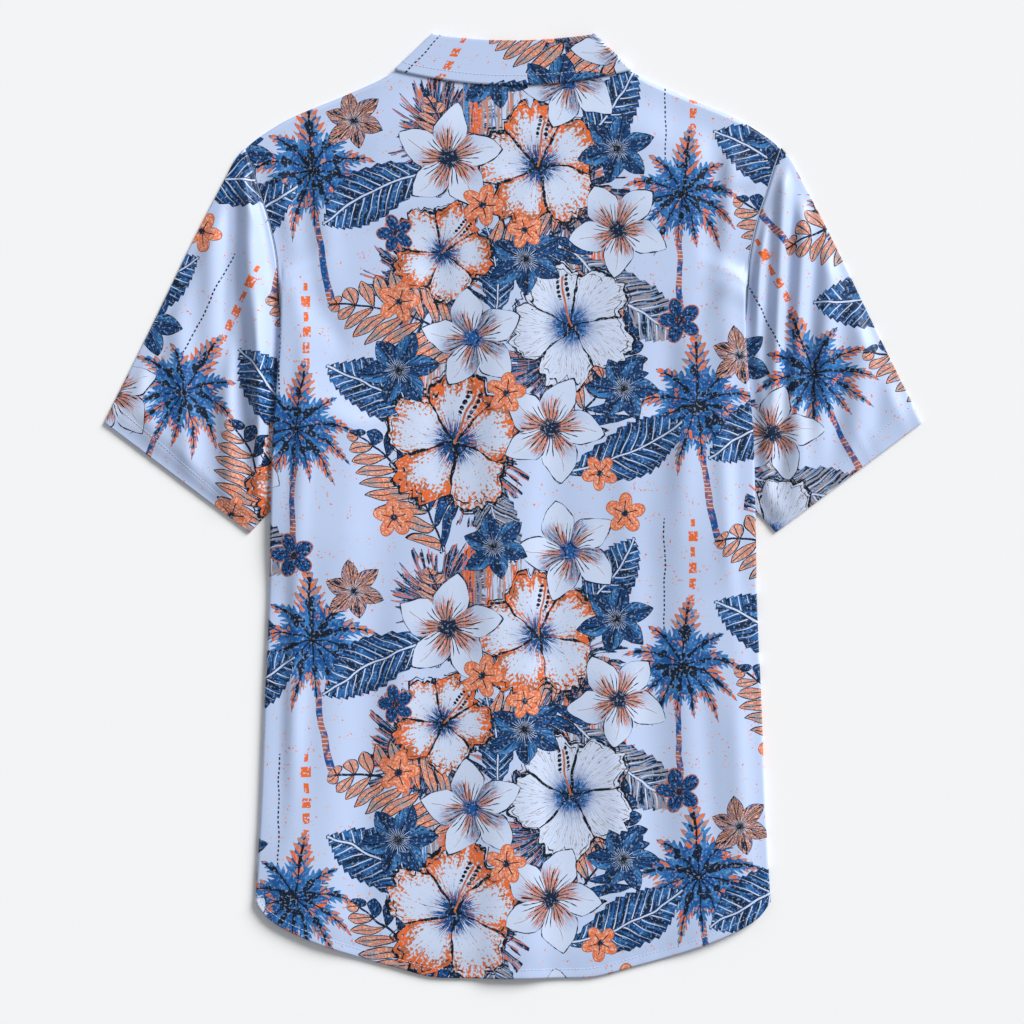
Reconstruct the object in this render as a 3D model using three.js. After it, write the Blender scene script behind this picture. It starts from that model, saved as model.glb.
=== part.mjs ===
// A short-sleeved shirt with an open camp collar, laid face down on a flat surface, back up.
// The sides of the body are turned under, and the sleeves lie half beneath them.
// Millimetres, +Z up, +Y towards the collar. The wearer's left is at -X.
// Every piece of cloth is a closed wall about its middle surface, which is worked out on a grid
// from the tables below. Heights in the tables are above the lowest point of the hem.
import * as THREE from "three";

// Cloth
const CLOTH = 1; // wall thickness
const GAP = 0.4; // clear space between pieces that lie on each other or meet at a seam
const HALF = CLOTH / 2;
const LAYER = CLOTH + GAP;

// Body
const SIDE_HEM = 65; // the hem's height where the side turns under
const SHOULDER_TIP = { across: 227.5, height: 706.5 };
const NECK_POINT = { across: 88, height: 776 };
const BACK_NECK = 766; // the back neck seam at the centre
const CROSSING = 611; // where the armhole seam reaches the turned side
const TURNED = 565; // the side is fully turned under below this
const HEM_BAND = 9; // from the hem's edge to where its turned-in edge is sewn down
const SIDE_RAMP = 45; // how gently the body climbs over its turned sides
const HEM_THICKER = 0.3; // how much a turned hem stands above its panel
const BACK_RADIUS = 1.5 * LAYER; // the back's bend at its turned side
const FRONT_RADIUS = 0.5 * LAYER;
const LEAST_FLAP = 1.6; // what is turned under where the flap begins
const BEND_SPREAD = 2; // the length along the edge that takes the bend's points where it is flat
const SLEEVE_LIFT = 2 * LAYER; // the sleeve's two layers under the body
const SLEEVE_LIFT_FULL = 385; // the body lies on the sleeve above this height
const SLEEVE_LIFT_ENDS = 325; // and is down again below this one

// Front
const OVERLAP = 15; // each front passes the centre by this much
const TOP_OF_FRONT_EDGE = 650;
const FRONT_HEM_RISE = 4; // the fronts end this much above the back's hem
const OVERLAP_OPENS = [676, 708]; // the two fronts part between these heights
const LAPEL = { neck: [57, 737], point: [93, 699], break: [5, 675] };

// Buttons
const BUTTON = { diameter: 11.5, thickness: 2, sides: 16, hole: 1.8, holeSides: 6, holePitch: 2.9 };
const BUTTON_COUNT = 6;
const TOP_BUTTON = 640;
const BUTTON_PITCH = 95;

// Sleeve, from the shoulder tip to the cuff's two corners
const CUFF_OUTER = { across: 348.5, height: 473.5 };
const CUFF_INNER = { across: 223.5, height: 379.5 };
const CUFF_BAND = 23;
const SLEEVE_LENGTH = 266; // along the outer fold
const SLEEVE_RADIUS = LAYER / 2; // the bend at the outer fold and at the seam
const UNDERARM = { across: 147, height: 462 };

// Collar
const ROLL_CENTRE = 797.5;
const ROLL_CORNER = { across: 68, height: 803 };
const FREE_EDGE_CENTRE = 760;
const FREE_EDGE_CORNER = { across: 99.6, height: 772.8 };
const COLLAR_POINT = { across: 107, height: 712 };
const NOTCH = { across: 59.5, height: 741 };
const COLLAR_BACK = 0.5; // the share of the collar's half-length that lies on the back
const COLLAR_SIDE = 0.56; // where it has turned to the front
const STAND_RADIUS = 0.5 * LAYER; // how the stand and the fall turn round the side of the neck
const FALL_RADIUS = 1.5 * LAYER;

// Air that laid cloth keeps beneath it, away from its edges
const BODY_AIR = 1.5;
const SLEEVE_AIR = 1.6;

// The body's sides: half-width as laid, and half-width of the flat cut
const SIDES = [
  { height: 65, laid: 219.5, cut: 268 },
  { height: 150, laid: 215, cut: 266 },
  { height: 240, laid: 211.6, cut: 265 },
  { height: 320, laid: 208, cut: 264.5 },
  { height: 390, laid: 206.6, cut: 264 },
  { height: 462, laid: 204.8, cut: 263 },
  { height: 468, laid: 204.4, cut: 252 },
  { height: 478, laid: 203.6, cut: 236 },
  { height: 495, laid: 202.2, cut: 219 },
  { height: 520, laid: 200.2, cut: 207 },
  { height: 545, laid: 198.5, cut: 201.2 },
  { height: 578, laid: 197.8, cut: 198.4 },
  { height: 611, laid: 200.2, cut: 200.2 },
  { height: 645, laid: 207, cut: 207 },
  { height: 668, laid: 214.6, cut: 214.6 },
  { height: 688, laid: 220.8, cut: 220.8 },
  { height: 706.5, laid: 227.5, cut: 227.5 },
];

// The shirt-tail hem, by distance across the flat cut
const HEM = [
  { across: 0, height: 0 },
  { across: 60, height: 0.6 },
  { across: 104, height: 10.5 },
  { across: 156, height: 26 },
  { across: 193, height: 41.5 },
  { across: 210, height: 53 },
  { across: 219.5, height: 65 },
  { across: 236, height: 73 },
  { across: 268, height: 76 },
];

// The back's neck seam and shoulder line
const TOP = [
  { across: 0, height: 766 },
  { across: 45, height: 768.5 },
  { across: 88, height: 775.6 },
  { across: 117.6, height: 762.5 },
  { across: 149, height: 749 },
  { across: 190, height: 731.8 },
  { across: 217.7, height: 714.8 },
  { across: 227.5, height: 706.5 },
];

// The sleeve's outer fold and its armhole edge, from the shoulder tip
const SLEEVE_FOLD = [
  { along: 0, across: 228.6, height: 707.4 },
  { along: 0.045, across: 236.4, height: 697.8 },
  { along: 0.12, across: 245.4, height: 680.8 },
  { along: 0.32, across: 271.4, height: 630.4 },
  { along: 0.66, across: 313, height: 544.6 },
  { along: 1, across: 348.5, height: 473.5 },
];
const ARMHOLE = [
  { along: 0, across: 228.6, height: 707.4 },
  { along: 0.08, across: 222.2, height: 688 },
  { along: 0.17, across: 216, height: 668 },
  { along: 0.27, across: 208.6, height: 645 },
  { along: 0.41, across: 201.8, height: 611 },
  { along: 0.49, across: 200.2, height: 590 },
  { along: 0.55, across: 199.2, height: 574 },
  { along: 0.6, across: 197, height: 558 },
  { along: 0.67, across: 194, height: 540 },
  { along: 0.76, across: 189, height: 512 },
  { along: 0.88, across: 175, height: 480 },
  { along: 1, across: 147, height: 462 },
];

// Folds in the laid cloth: a ridge (rise above 0) or a trough from one point to another
const BACK_FOLDS = [
  { x1: -196, y1: 330, x2: -201, y2: 130, width: 9, rise: 1.1 },
  { x1: -184, y1: 345, x2: -187, y2: 200, width: 9, rise: -1 },
  { x1: -86, y1: 600, x2: -84, y2: 520, width: 16, rise: -1.1 },
  { x1: -60, y1: 610, x2: -58, y2: 420, width: 18, rise: 0.9 },
  { x1: 150, y1: 560, x2: 146, y2: 400, width: 15, rise: -0.8 },
  { x1: 186, y1: 730, x2: 178, y2: 650, width: 11, rise: -1 },
  { x1: 170, y1: 735, x2: 160, y2: 600, width: 13, rise: 1 },
  { x1: -206, y1: 690, x2: -196, y2: 640, width: 11, rise: -1 },
  { x1: -178, y1: 700, x2: -170, y2: 560, width: 13, rise: 1 },
  { x1: 120, y1: 330, x2: 126, y2: 90, width: 22, rise: 0.9 },
  { x1: -120, y1: 380, x2: -128, y2: 60, width: 24, rise: 0.8 },
  { x1: 30, y1: 420, x2: 36, y2: 120, width: 26, rise: 0.7 },
];
const LEFT_SLEEVE_FOLDS = [
  { x1: -226, y1: 694, x2: -222, y2: 610, width: 8, rise: -1.5 },
  { x1: -222, y1: 610, x2: -206, y2: 520, width: 9, rise: -1.5 },
  { x1: -236, y1: 680, x2: -236, y2: 580, width: 9, rise: 1.6 },
  { x1: -216, y1: 668, x2: -210, y2: 600, width: 7, rise: 1 },
  { x1: -262, y1: 600, x2: -256, y2: 460, width: 16, rise: 0.9 },
  { x1: -300, y1: 540, x2: -286, y2: 450, width: 16, rise: -0.8 },
];
const RIGHT_SLEEVE_FOLDS = [
  { x1: 217, y1: 660, x2: 203, y2: 566, width: 6, rise: 1.1 },
  { x1: 228, y1: 652, x2: 212, y2: 540, width: 7, rise: 1.6 },
  { x1: 234, y1: 655, x2: 222, y2: 550, width: 7, rise: -1.5 },
  { x1: 243, y1: 640, x2: 232, y2: 500, width: 11, rise: 1.5 },
  { x1: 262, y1: 600, x2: 250, y2: 480, width: 15, rise: -0.9 },
  { x1: 296, y1: 560, x2: 276, y2: 440, width: 18, rise: 0.8 },
];

// A smooth value between the rows of a table, without overshoot.
function between(table, key, value, at) {
  const last = table.length - 1;
  const x = (i) => table[i][key];
  const y = (i) => table[i][value];
  if (at <= x(0)) return y(0);
  if (at >= x(last)) return y(last);
  const slope = (i) => (y(i + 1) - y(i)) / (x(i + 1) - x(i));
  const tangent = (i) => {
    if (i === 0) return slope(0);
    if (i === last) return slope(last - 1);
    const [a, b] = [slope(i - 1), slope(i)];
    return a * b <= 0 ? 0 : (2 * a * b) / (a + b);
  };
  let i = 0;
  while (at > x(i + 1)) i += 1;
  const step = x(i + 1) - x(i);
  const t = (at - x(i)) / step;
  const u = 1 - t;
  return (
    y(i) * (1 + 2 * t) * u * u +
    tangent(i) * step * t * u * u +
    y(i + 1) * (3 - 2 * t) * t * t -
    tangent(i + 1) * step * t * t * u
  );
}

// 0 below low, 1 above high, and a smooth step between them.
function smooth(low, high, at) {
  return THREE.MathUtils.smoothstep(at, low, high);
}

const mix = THREE.MathUtils.lerp;
const shares = (count) => Array.from({ length: count + 1 }, (_, i) => i / count);
const TURN_STEPS = shares(5).slice(1);
const UNDER_STEPS = shares(2).slice(1);
const laidAt = (height) => between(SIDES, "height", "laid", height);
const cutAt = (height) => between(SIDES, "height", "cut", height);
const hemAt = (across) => between(HEM, "across", "height", Math.abs(across));
const topAt = (across) => between(TOP, "across", "height", Math.abs(across));

// How far the body's side is turned under, from 0 (flat) to 1.
const turnAt = (height) => 1 - smooth(TURNED, CROSSING, height);

// The body's side bends through an angle and then goes straight on. The back and the front are
// both set off from the same spine, so they stay one layer apart however far they turn.
function sideBend(height) {
  const laid = laidAt(height);
  const centre = laid - HALF - BACK_RADIUS;
  const turn = turnAt(height);
  const angle = Math.PI * turn;
  const turned = Math.max(LEAST_FLAP, centre - (2 * laid - cutAt(height)));
  const reach = mix(laid - centre - BEND_SPREAD, turned, turn);
  const spine = [];
  let [x, z] = [centre, 0];
  for (const step of TURN_STEPS) {
    const advance = (BEND_SPREAD * (1 - turn)) / TURN_STEPS.length;
    x += advance * Math.cos(step * angle);
    z -= advance * Math.sin(step * angle);
    spine.push({ x, z, angle: step * angle });
  }
  for (const step of UNDER_STEPS) {
    const [sin, cos] = [Math.sin(angle), Math.cos(angle)];
    spine.push({ x: x + step * reach * cos, z: z - step * reach * sin, angle });
  }
  const drop = (radius) => Math.max(...spine.map((p) => radius * (1 - Math.cos(p.angle)) - p.z));
  const lift = Math.max(0, drop(BACK_RADIUS) - LAYER, drop(FRONT_RADIUS));
  return { centre, spine, lift };
}

// How far the sleeve beneath lifts the turned side.
function sleeveLiftAt(height) {
  const above = smooth(SLEEVE_LIFT_ENDS, SLEEVE_LIFT_FULL, height);
  return SLEEVE_LIFT * above * smooth(0, 0.4, turnAt(height));
}

// The height of a set of folds at a point: each falls off like a bell across and towards its ends.
function foldsAt(folds, x, y) {
  let sum = 0;
  for (const fold of folds) {
    const along = new THREE.Vector2(fold.x2 - fold.x1, fold.y2 - fold.y1);
    const length = along.length();
    along.divideScalar(length);
    const from = new THREE.Vector2(x - fold.x1, y - fold.y1);
    const s = from.dot(along) / length;
    const off = from.cross(along) / fold.width;
    const end = smooth(-0.25, 0.2, s) * (1 - smooth(0.75, 1.25, s));
    sum += fold.rise * end * Math.exp(-off * off);
  }
  return sum;
}

// What lifts the fronts off the surface: turned sides, the collar and lapels, and the buttons.
function frontLevel(x, y, sideHeight) {
  const across = Math.abs(x);
  const flapEnd = 2 * laidAt(sideHeight) - cutAt(sideHeight);
  const sideLift = sideBend(sideHeight).lift + sleeveLiftAt(sideHeight);
  const nearSide = smooth(flapEnd - 4 - SIDE_RAMP, flapEnd - 4, across);
  const collarLift = LAYER * smooth(630, 660, y) * (1 - smooth(112, 140, across));
  const buttonRoom = BUTTON.thickness + GAP;
  const buttonLift = buttonRoom * (1 - smooth(9, 34, across)) * (1 - smooth(...OVERLAP_OPENS, y));
  return HALF + sideLift * nearSide + Math.max(collarLift, buttonLift);
}

// The extra layer where one front lies over the other.
function overlapLift(x, y) {
  const beside = 1 - smooth(OVERLAP + 1, OVERLAP + 30, Math.abs(x));
  return LAYER * beside * (1 - smooth(...OVERLAP_OPENS, y));
}

// The back's middle surface: on the fronts, with the air and the folds of laid cloth.
function backLevel(x, y, sideHeight) {
  const inside = smooth(4, 26, laidAt(sideHeight) - Math.abs(x));
  const above = smooth(-10, 30, y - hemAt(x));
  const below = smooth(12, 50, topAt(x) - y);
  const free = inside * above * below * (BODY_AIR + foldsAt(BACK_FOLDS, x, y));
  return frontLevel(x, y, sideHeight) + overlapLift(x, y) + LAYER + free;
}

// Where a row of the body at this height on the side lies at a place across the cloth.
function bodyHeight(across, laid, sideHeight, hemRise) {
  const share = (sideHeight - SIDE_HEM) / (SHOULDER_TIP.height - SIDE_HEM);
  const q = Math.min(1, across / laid);
  const low = hemAt(q * SIDES[0].laid) + hemRise;
  const high = topAt(q * SHOULDER_TIP.across);
  return mix(low, high, share);
}

// The points of a row where it bends round the side and goes on beneath, from the top outwards.
function turnedRow(side, row, level, radius) {
  const { centre, spine } = sideBend(row.height);
  const [laid, cut] = [laidAt(row.height), cutAt(row.height)];
  const topZ = level(side * centre, bodyHeight(centre, laid, row.height, row.hemRise), row.height);
  const sideY = bodyHeight(laid, laid, row.height, row.hemRise);
  const share = (row.height - SIDE_HEM) / (SHOULDER_TIP.height - SIDE_HEM);
  const fade = (1 - share) ** 8 * turnAt(row.height);
  return spine.map((p, k) => {
    const under = Math.max(0, (k + 1 - TURN_STEPS.length) / UNDER_STEPS.length);
    const hem = (hemAt(mix(laid, cut, under)) - SIDE_HEM) * fade;
    const x = p.x + radius * Math.sin(p.angle);
    const z = topZ + p.z - radius + radius * Math.cos(p.angle);
    return new THREE.Vector3(side * x, sideY + hem, z);
  });
}

// A closed wall about a grid of middle points. raise(i) thickens the outer face where it looks up.
// A body piece is thickened within the plane of each row (upright), so that layers which bend
// about the same line stay apart; other pieces are thickened along their own normals.
function clothWall(grid, { raise = () => 0, ring = false, upright = false } = {}) {
  const rows = grid.length;
  const columns = grid[0].length;
  const at = (i, j) => {
    const row = Math.min(rows - 1, Math.max(0, i));
    const column = ring ? (j + columns) % columns : Math.min(columns - 1, Math.max(0, j));
    return grid[row][column];
  };
  const outer = [];
  const inner = [];
  for (let i = 0; i < rows; i += 1) {
    for (let j = 0; j < columns; j += 1) {
      const down = new THREE.Vector3(0, -1, 0);
      if (!upright) down.subVectors(at(i + 1, j), at(i - 1, j));
      const along = new THREE.Vector3().subVectors(at(i, j + 1), at(i, j - 1));
      const normal = new THREE.Vector3().crossVectors(along, down).normalize();
      const thicker = raise(i) * Math.max(0, normal.z) ** 4;
      outer.push(at(i, j).clone().addScaledVector(normal, HALF + thicker));
      inner.push(at(i, j).clone().addScaledVector(normal, -HALF));
    }
  }
  const count = rows * columns;
  const faces = [];
  const quad = (a, b, c, d) => faces.push(a, b, c, a, c, d);
  const index = (i, j) => i * columns + (j % columns);
  const lastColumn = ring ? columns : columns - 1;
  for (let i = 0; i < rows - 1; i += 1) {
    for (let j = 0; j < lastColumn; j += 1) {
      const [a, b, c, d] = [index(i, j), index(i, j + 1), index(i + 1, j + 1), index(i + 1, j)];
      quad(a, b, c, d);
      quad(count + a, count + d, count + c, count + b);
    }
  }
  for (let j = 0; j < lastColumn; j += 1) {
    const [a, b] = [index(0, j), index(0, j + 1)];
    quad(b, a, count + a, count + b);
    const [c, d] = [index(rows - 1, j), index(rows - 1, j + 1)];
    quad(c, d, count + d, count + c);
  }
  if (!ring) {
    for (let i = 0; i < rows - 1; i += 1) {
      const [a, b] = [index(i, 0), index(i + 1, 0)];
      quad(a, b, count + b, count + a);
      const [c, d] = [index(i, columns - 1), index(i + 1, columns - 1)];
      quad(d, c, count + c, count + d);
    }
  }
  const points = [...outer, ...inner].flatMap((p) => p.toArray());
  const geometry = new THREE.BufferGeometry();
  geometry.setAttribute("position", new THREE.Float32BufferAttribute(points, 3));
  geometry.setIndex(faces);
  return geometry;
}

// The rows of the body, by their height on the side. The first two bound the hem's turned band,
// and the third is where the cloth is back to its own thickness.
const BODY_ROWS = [SIDE_HEM, SIDE_HEM + HEM_BAND - 0.5, SIDE_HEM + HEM_BAND + 1]
  .concat([120, 170, 220, 270, 320, 355, 390, 430, 462, 476, 495, 520, 545, 565, 578, 587])
  .concat([595, 603, 611, 640, 668, 690, 706.5]);
// The columns of the body from the centre to the side's bend, as shares.
const COLUMNS = [0, 0.04, 0.077, 0.12, 0.17, 0.225, 0.31, 0.42]
  .concat([0.52, 0.61, 0.69, 0.77, 0.84, 0.9, 0.955, 1]);

function backGrid() {
  return BODY_ROWS.map((height) => {
    const row = { height, hemRise: 0 };
    const laid = laidAt(height);
    const { centre } = sideBend(height);
    const top = (side) => COLUMNS.map((column) => {
      const x = column * centre;
      const y = bodyHeight(x, laid, height, 0);
      return new THREE.Vector3(side * x, y, backLevel(side * x, y, height));
    });
    const half = (side) => [...top(side), ...turnedRow(side, row, backLevel, BACK_RADIUS)];
    return [...half(-1).reverse(), ...half(1).slice(1)];
  }).reverse();
}

// One front, from its free edge to the side. Its columns lie under the back's, and past the
// centre, up to the top button, and then crowd outwards as the neckline slants.
function frontGrid(side) {
  const extra = side > 0 ? overlapLift : () => 0;
  const level = (x, y, height) => frontLevel(x, y, height) + extra(x, y);
  const columns = [-COLUMNS[2], -COLUMNS[1], ...COLUMNS];
  return BODY_ROWS.map((height) => {
    const hemRise = FRONT_HEM_RISE * (1 - smooth(SIDE_HEM, 200, height));
    const row = { height, hemRise };
    const laid = laidAt(height);
    const { centre } = sideBend(height);
    const share = (height - SIDE_HEM) / (SHOULDER_TIP.height - SIDE_HEM);
    const edge = frontEdge(share);
    const top = columns.map((column) => {
      const x = mix(edge, centre, (column - columns[0]) / (1 - columns[0]));
      const y = bodyHeight(Math.abs(x), laid, height, hemRise);
      return new THREE.Vector3(side * x, y, level(side * x, y, height));
    });
    const whole = [...top, ...turnedRow(side, row, level, FRONT_RADIUS)];
    return side > 0 ? whole : whole.reverse();
  }).reverse();
}

// How far a front's free edge lies from the centre, negative where it passes it.
function frontEdge(share) {
  const height = share * BACK_NECK;
  const climb = Math.max(0, (height - TOP_OF_FRONT_EDGE) / (BACK_NECK - TOP_OF_FRONT_EDGE));
  return mix(-OVERLAP, NECK_POINT.across, climb);
}

// The sleeve: a Coons patch between armhole, cuff, outer fold and underarm seam.
function sleevePlan(s, t) {
  const curve = (table, at) => new THREE.Vector2(
    between(table, "along", "across", at),
    between(table, "along", "height", at),
  );
  const point = (place) => new THREE.Vector2(place.across, place.height);
  const armhole = curve(ARMHOLE, t);
  const cuff = point(CUFF_OUTER).lerp(point(CUFF_INNER), t);
  const fold = curve(SLEEVE_FOLD, s);
  const seam = point(UNDERARM).lerp(point(CUFF_INNER), s);
  const corners = curve(ARMHOLE, 0).lerp(point(UNDERARM), t).lerp(cuff, s);
  return armhole.lerp(cuff, s).add(fold.lerp(seam, t)).sub(corners);
}

// The rows of the sleeve from armhole to cuff. The last two bound the cuff's turned band.
const BAND_START = 1 - CUFF_BAND / SLEEVE_LENGTH;
const SLEEVE_ROWS = [0, 0.06, 0.13, 0.21, 0.3, 0.39, 0.48, 0.57, 0.66, 0.75, 0.83]
  .concat([BAND_START - 0.005, BAND_START, 1]);
const SLEEVE_STEPS = [0, 0.1, 0.19, 0.27, 0.34, 0.41, 0.48, 0.55, 0.63, 0.72, 0.82, 0.91, 1];
const LOWER_STEPS = [1, 0.85, 0.7, 0.5, 0.3, 0.15, 0];

// The sleeve's upper layer lifts only where it is clear of the body's side.
function sleeveRise(side, folds, plan, s, t) {
  const clear = smooth(4, 18, plan.x - laidAt(Math.max(plan.y, SIDE_HEM)));
  const inside = smooth(0, 0.1, t) * smooth(0, 0.1, 1 - t);
  const seam = smooth(0, 0.06, s) * smooth(0, 0.16, 1 - s);
  return clear * inside * seam * (SLEEVE_AIR + foldsAt(folds, side * plan.x, plan.y));
}

function sleeveGrid(side, folds) {
  const inset = HALF + SLEEVE_RADIUS;
  return SLEEVE_ROWS.map((s) => {
    const place = (t) => {
      const across = sleevePlan(s, Math.min(1, t + 0.01));
      across.sub(sleevePlan(s, Math.max(0, t - 0.01))).normalize();
      return sleevePlan(s, t).addScaledVector(across, inset * (1 - 2 * t));
    };
    const upper = SLEEVE_STEPS.map((t) => {
      const plan = place(t);
      const z = HALF + LAYER + sleeveRise(side, folds, plan, s, t);
      return new THREE.Vector3(side * plan.x, plan.y, z);
    });
    const lower = LOWER_STEPS.map((t) => {
      const plan = place(t);
      return new THREE.Vector3(side * plan.x, plan.y, HALF);
    });
    const bend = (t, from) => shares(4).slice(1, -1).map((share) => {
      const plan = place(t);
      const away = sleevePlan(s, 1).sub(sleevePlan(s, 0)).normalize();
      const out = SLEEVE_RADIUS * Math.sin(Math.PI * share) * (t > 0.5 ? 1 : -1);
      plan.addScaledVector(away, out);
      const z = HALF + SLEEVE_RADIUS * (1 + from * Math.cos(Math.PI * share));
      return new THREE.Vector3(side * plan.x, plan.y, z);
    });
    const ring = [...upper, ...bend(1, 1), ...lower, ...bend(0, -1)];
    return side > 0 ? ring : ring.reverse();
  }).reverse();
}

// The collar: a stand that rises from the neck seam and a fall that rolls back over it. Both pass
// round the side of the neck to the front. place is 0 at the centre back and 1 at the points.
function collarPoint(place, layer, share) {
  const back = Math.min(1, place / COLLAR_BACK);
  const front = Math.max(0, (place - COLLAR_SIDE) / (1 - COLLAR_SIDE));
  const angle = Math.PI * smooth(COLLAR_BACK, COLLAR_SIDE, place);
  const bow = back * back;
  const seamHeight = mix(BACK_NECK + 1, NECK_POINT.height + 2, bow);
  const seam = new THREE.Vector2(back * (NECK_POINT.across - 4), seamHeight);
  const roll = new THREE.Vector2(back * ROLL_CORNER.across, mix(ROLL_CENTRE, ROLL_CORNER.height, bow));
  const edgeHeight = mix(FREE_EDGE_CENTRE, FREE_EDGE_CORNER.height, bow);
  const edge = new THREE.Vector2(back * FREE_EDGE_CORNER.across, edgeHeight);
  seam.lerp(new THREE.Vector2(NOTCH.across + 2, NOTCH.height + 3), front);
  roll.lerp(new THREE.Vector2(NOTCH.across, NOTCH.height), front);
  edge.lerp(new THREE.Vector2(COLLAR_POINT.across, COLLAR_POINT.height), front);
  const endAcross = FREE_EDGE_CORNER.across - ROLL_CORNER.across;
  const endDown = ROLL_CORNER.height - FREE_EDGE_CORNER.height;
  const outward = new THREE.Vector2(endDown, endAcross).normalize();
  let plan;
  let radius;
  if (layer === "stand") {
    plan = seam.lerp(roll, share);
    radius = STAND_RADIUS;
  } else if (layer === "roll") {
    const beyond = new THREE.Vector2().subVectors(roll, edge).normalize();
    plan = roll.addScaledVector(beyond, STAND_RADIUS * Math.sin(Math.PI * share));
    radius = mix(STAND_RADIUS, FALL_RADIUS, (1 - Math.cos(Math.PI * share)) / 2);
  } else {
    plan = roll.lerp(edge, share);
    radius = FALL_RADIUS;
  }
  plan.addScaledVector(outward, radius * Math.sin(angle) - HALF * smooth(0.3, COLLAR_BACK, place));
  return { plan, z: HALF + FALL_RADIUS + radius * Math.cos(angle) };
}

const COLLAR_STEPS = [0, 0.1, 0.2, 0.3, 0.4, 0.5, 0.51, 0.52, 0.53, 0.54, 0.55, 0.56, 0.67, 0.78, 0.89, 1];

function collarGrid() {
  const section = [
    ...shares(2).slice(0, 2).map((share) => ["stand", share]),
    ...shares(4).map((share) => ["roll", share]),
    ...shares(3).slice(1).map((share) => ["fall", share]),
  ];
  const column = (side) => (place) => section.map(([layer, share]) => {
    const { plan, z } = collarPoint(place, layer, share);
    return new THREE.Vector3(side * plan.x, plan.y, z);
  });
  return [...COLLAR_STEPS.map(column(-1)).reverse(), ...COLLAR_STEPS.slice(1).map(column(1))];
}

// A flat piece of cloth on the surface, from its outline.
function flatPiece(outline) {
  const shape = new THREE.Shape(outline.map(([x, y]) => new THREE.Vector2(x, y)));
  return new THREE.ExtrudeGeometry(shape, { depth: CLOTH, bevelEnabled: false });
}

function lapel(side) {
  const corners = [LAPEL.neck, LAPEL.point, LAPEL.break].map(([x, y]) => [side * x, y]);
  return flatPiece(side > 0 ? corners : corners.reverse());
}

// The corners of a regular polygon about a centre.
function round(centreX, centreY, diameter, sides) {
  return shares(sides).slice(0, -1).map((share) => {
    const angle = 2 * Math.PI * (share + 0.11);
    return new THREE.Vector2(
      centreX + (diameter / 2) * Math.cos(angle),
      centreY + (diameter / 2) * Math.sin(angle),
    );
  });
}

function button() {
  const disc = new THREE.Shape(round(0, 0, BUTTON.diameter, BUTTON.sides));
  const reach = BUTTON.holePitch / 2;
  for (const [x, y] of [[reach, reach], [-reach, reach], [-reach, -reach], [reach, -reach]]) {
    disc.holes.push(new THREE.Path(round(x, y, BUTTON.hole, BUTTON.holeSides)));
  }
  return new THREE.ExtrudeGeometry(disc, { depth: BUTTON.thickness, bevelEnabled: false });
}

// Printed polyester, by its ground colour, and polyester resin
const cloth = () => new THREE.MeshStandardMaterial({ color: "#c3d3ee", roughness: 0.55, metalness: 0 });
const resin = () => new THREE.MeshStandardMaterial({ color: "#dfe6f2", roughness: 0.3, metalness: 0 });

function piece(name, geometry, material) {
  const mesh = new THREE.Mesh(geometry, material);
  mesh.name = name;
  return mesh;
}

const shirt = new THREE.Group();
const hemRaise = (i) => (i >= BODY_ROWS.length - 2 ? HEM_THICKER : 0);
const cuffRaise = (i) => (i <= 1 ? HEM_THICKER : 0);
const [body, hemmed] = [{ upright: true }, { upright: true, raise: hemRaise }];
const cuffed = { ring: true, raise: cuffRaise };
shirt.add(piece("back", clothWall(backGrid(), hemmed), cloth()));
shirt.add(piece("front_left", clothWall(frontGrid(-1), body), cloth()));
shirt.add(piece("front_right", clothWall(frontGrid(1), body), cloth()));
shirt.add(piece("sleeve_left", clothWall(sleeveGrid(-1, LEFT_SLEEVE_FOLDS), cuffed), cloth()));
shirt.add(piece("sleeve_right", clothWall(sleeveGrid(1, RIGHT_SLEEVE_FOLDS), cuffed), cloth()));
shirt.add(piece("collar", clothWall(collarGrid()), cloth()));
shirt.add(piece("lapel_left", lapel(-1), cloth()));
shirt.add(piece("lapel_right", lapel(1), cloth()));
for (let n = 0; n < BUTTON_COUNT; n += 1) {
  const mesh = piece(`button_${n + 1}`, button(), resin());
  mesh.position.set(0, TOP_BUTTON - n * BUTTON_PITCH, 0);
  shirt.add(mesh);
}

// The part's origin is at the middle of its extent, on the surface that it lies on.
const box = new THREE.Box3().setFromObject(shirt);
const middle = box.getCenter(new THREE.Vector3());
shirt.position.set(-middle.x, -middle.y, -box.min.z);

export default shirt;
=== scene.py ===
"""Dresses the laid hawaiian shirt: printed cloth on the forms of its solids, sewing, buttons.

Lengths in the tables are millimetres on the table that the shirt lies on: across from its
middle, and up from the lowest point of its hem, seen from above. Everything is turned into
metres in the CAD frame when a mesh is made.
"""

import logging
import math
from collections.abc import Callable, Sequence
from dataclasses import dataclass, field
from enum import Enum

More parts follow.
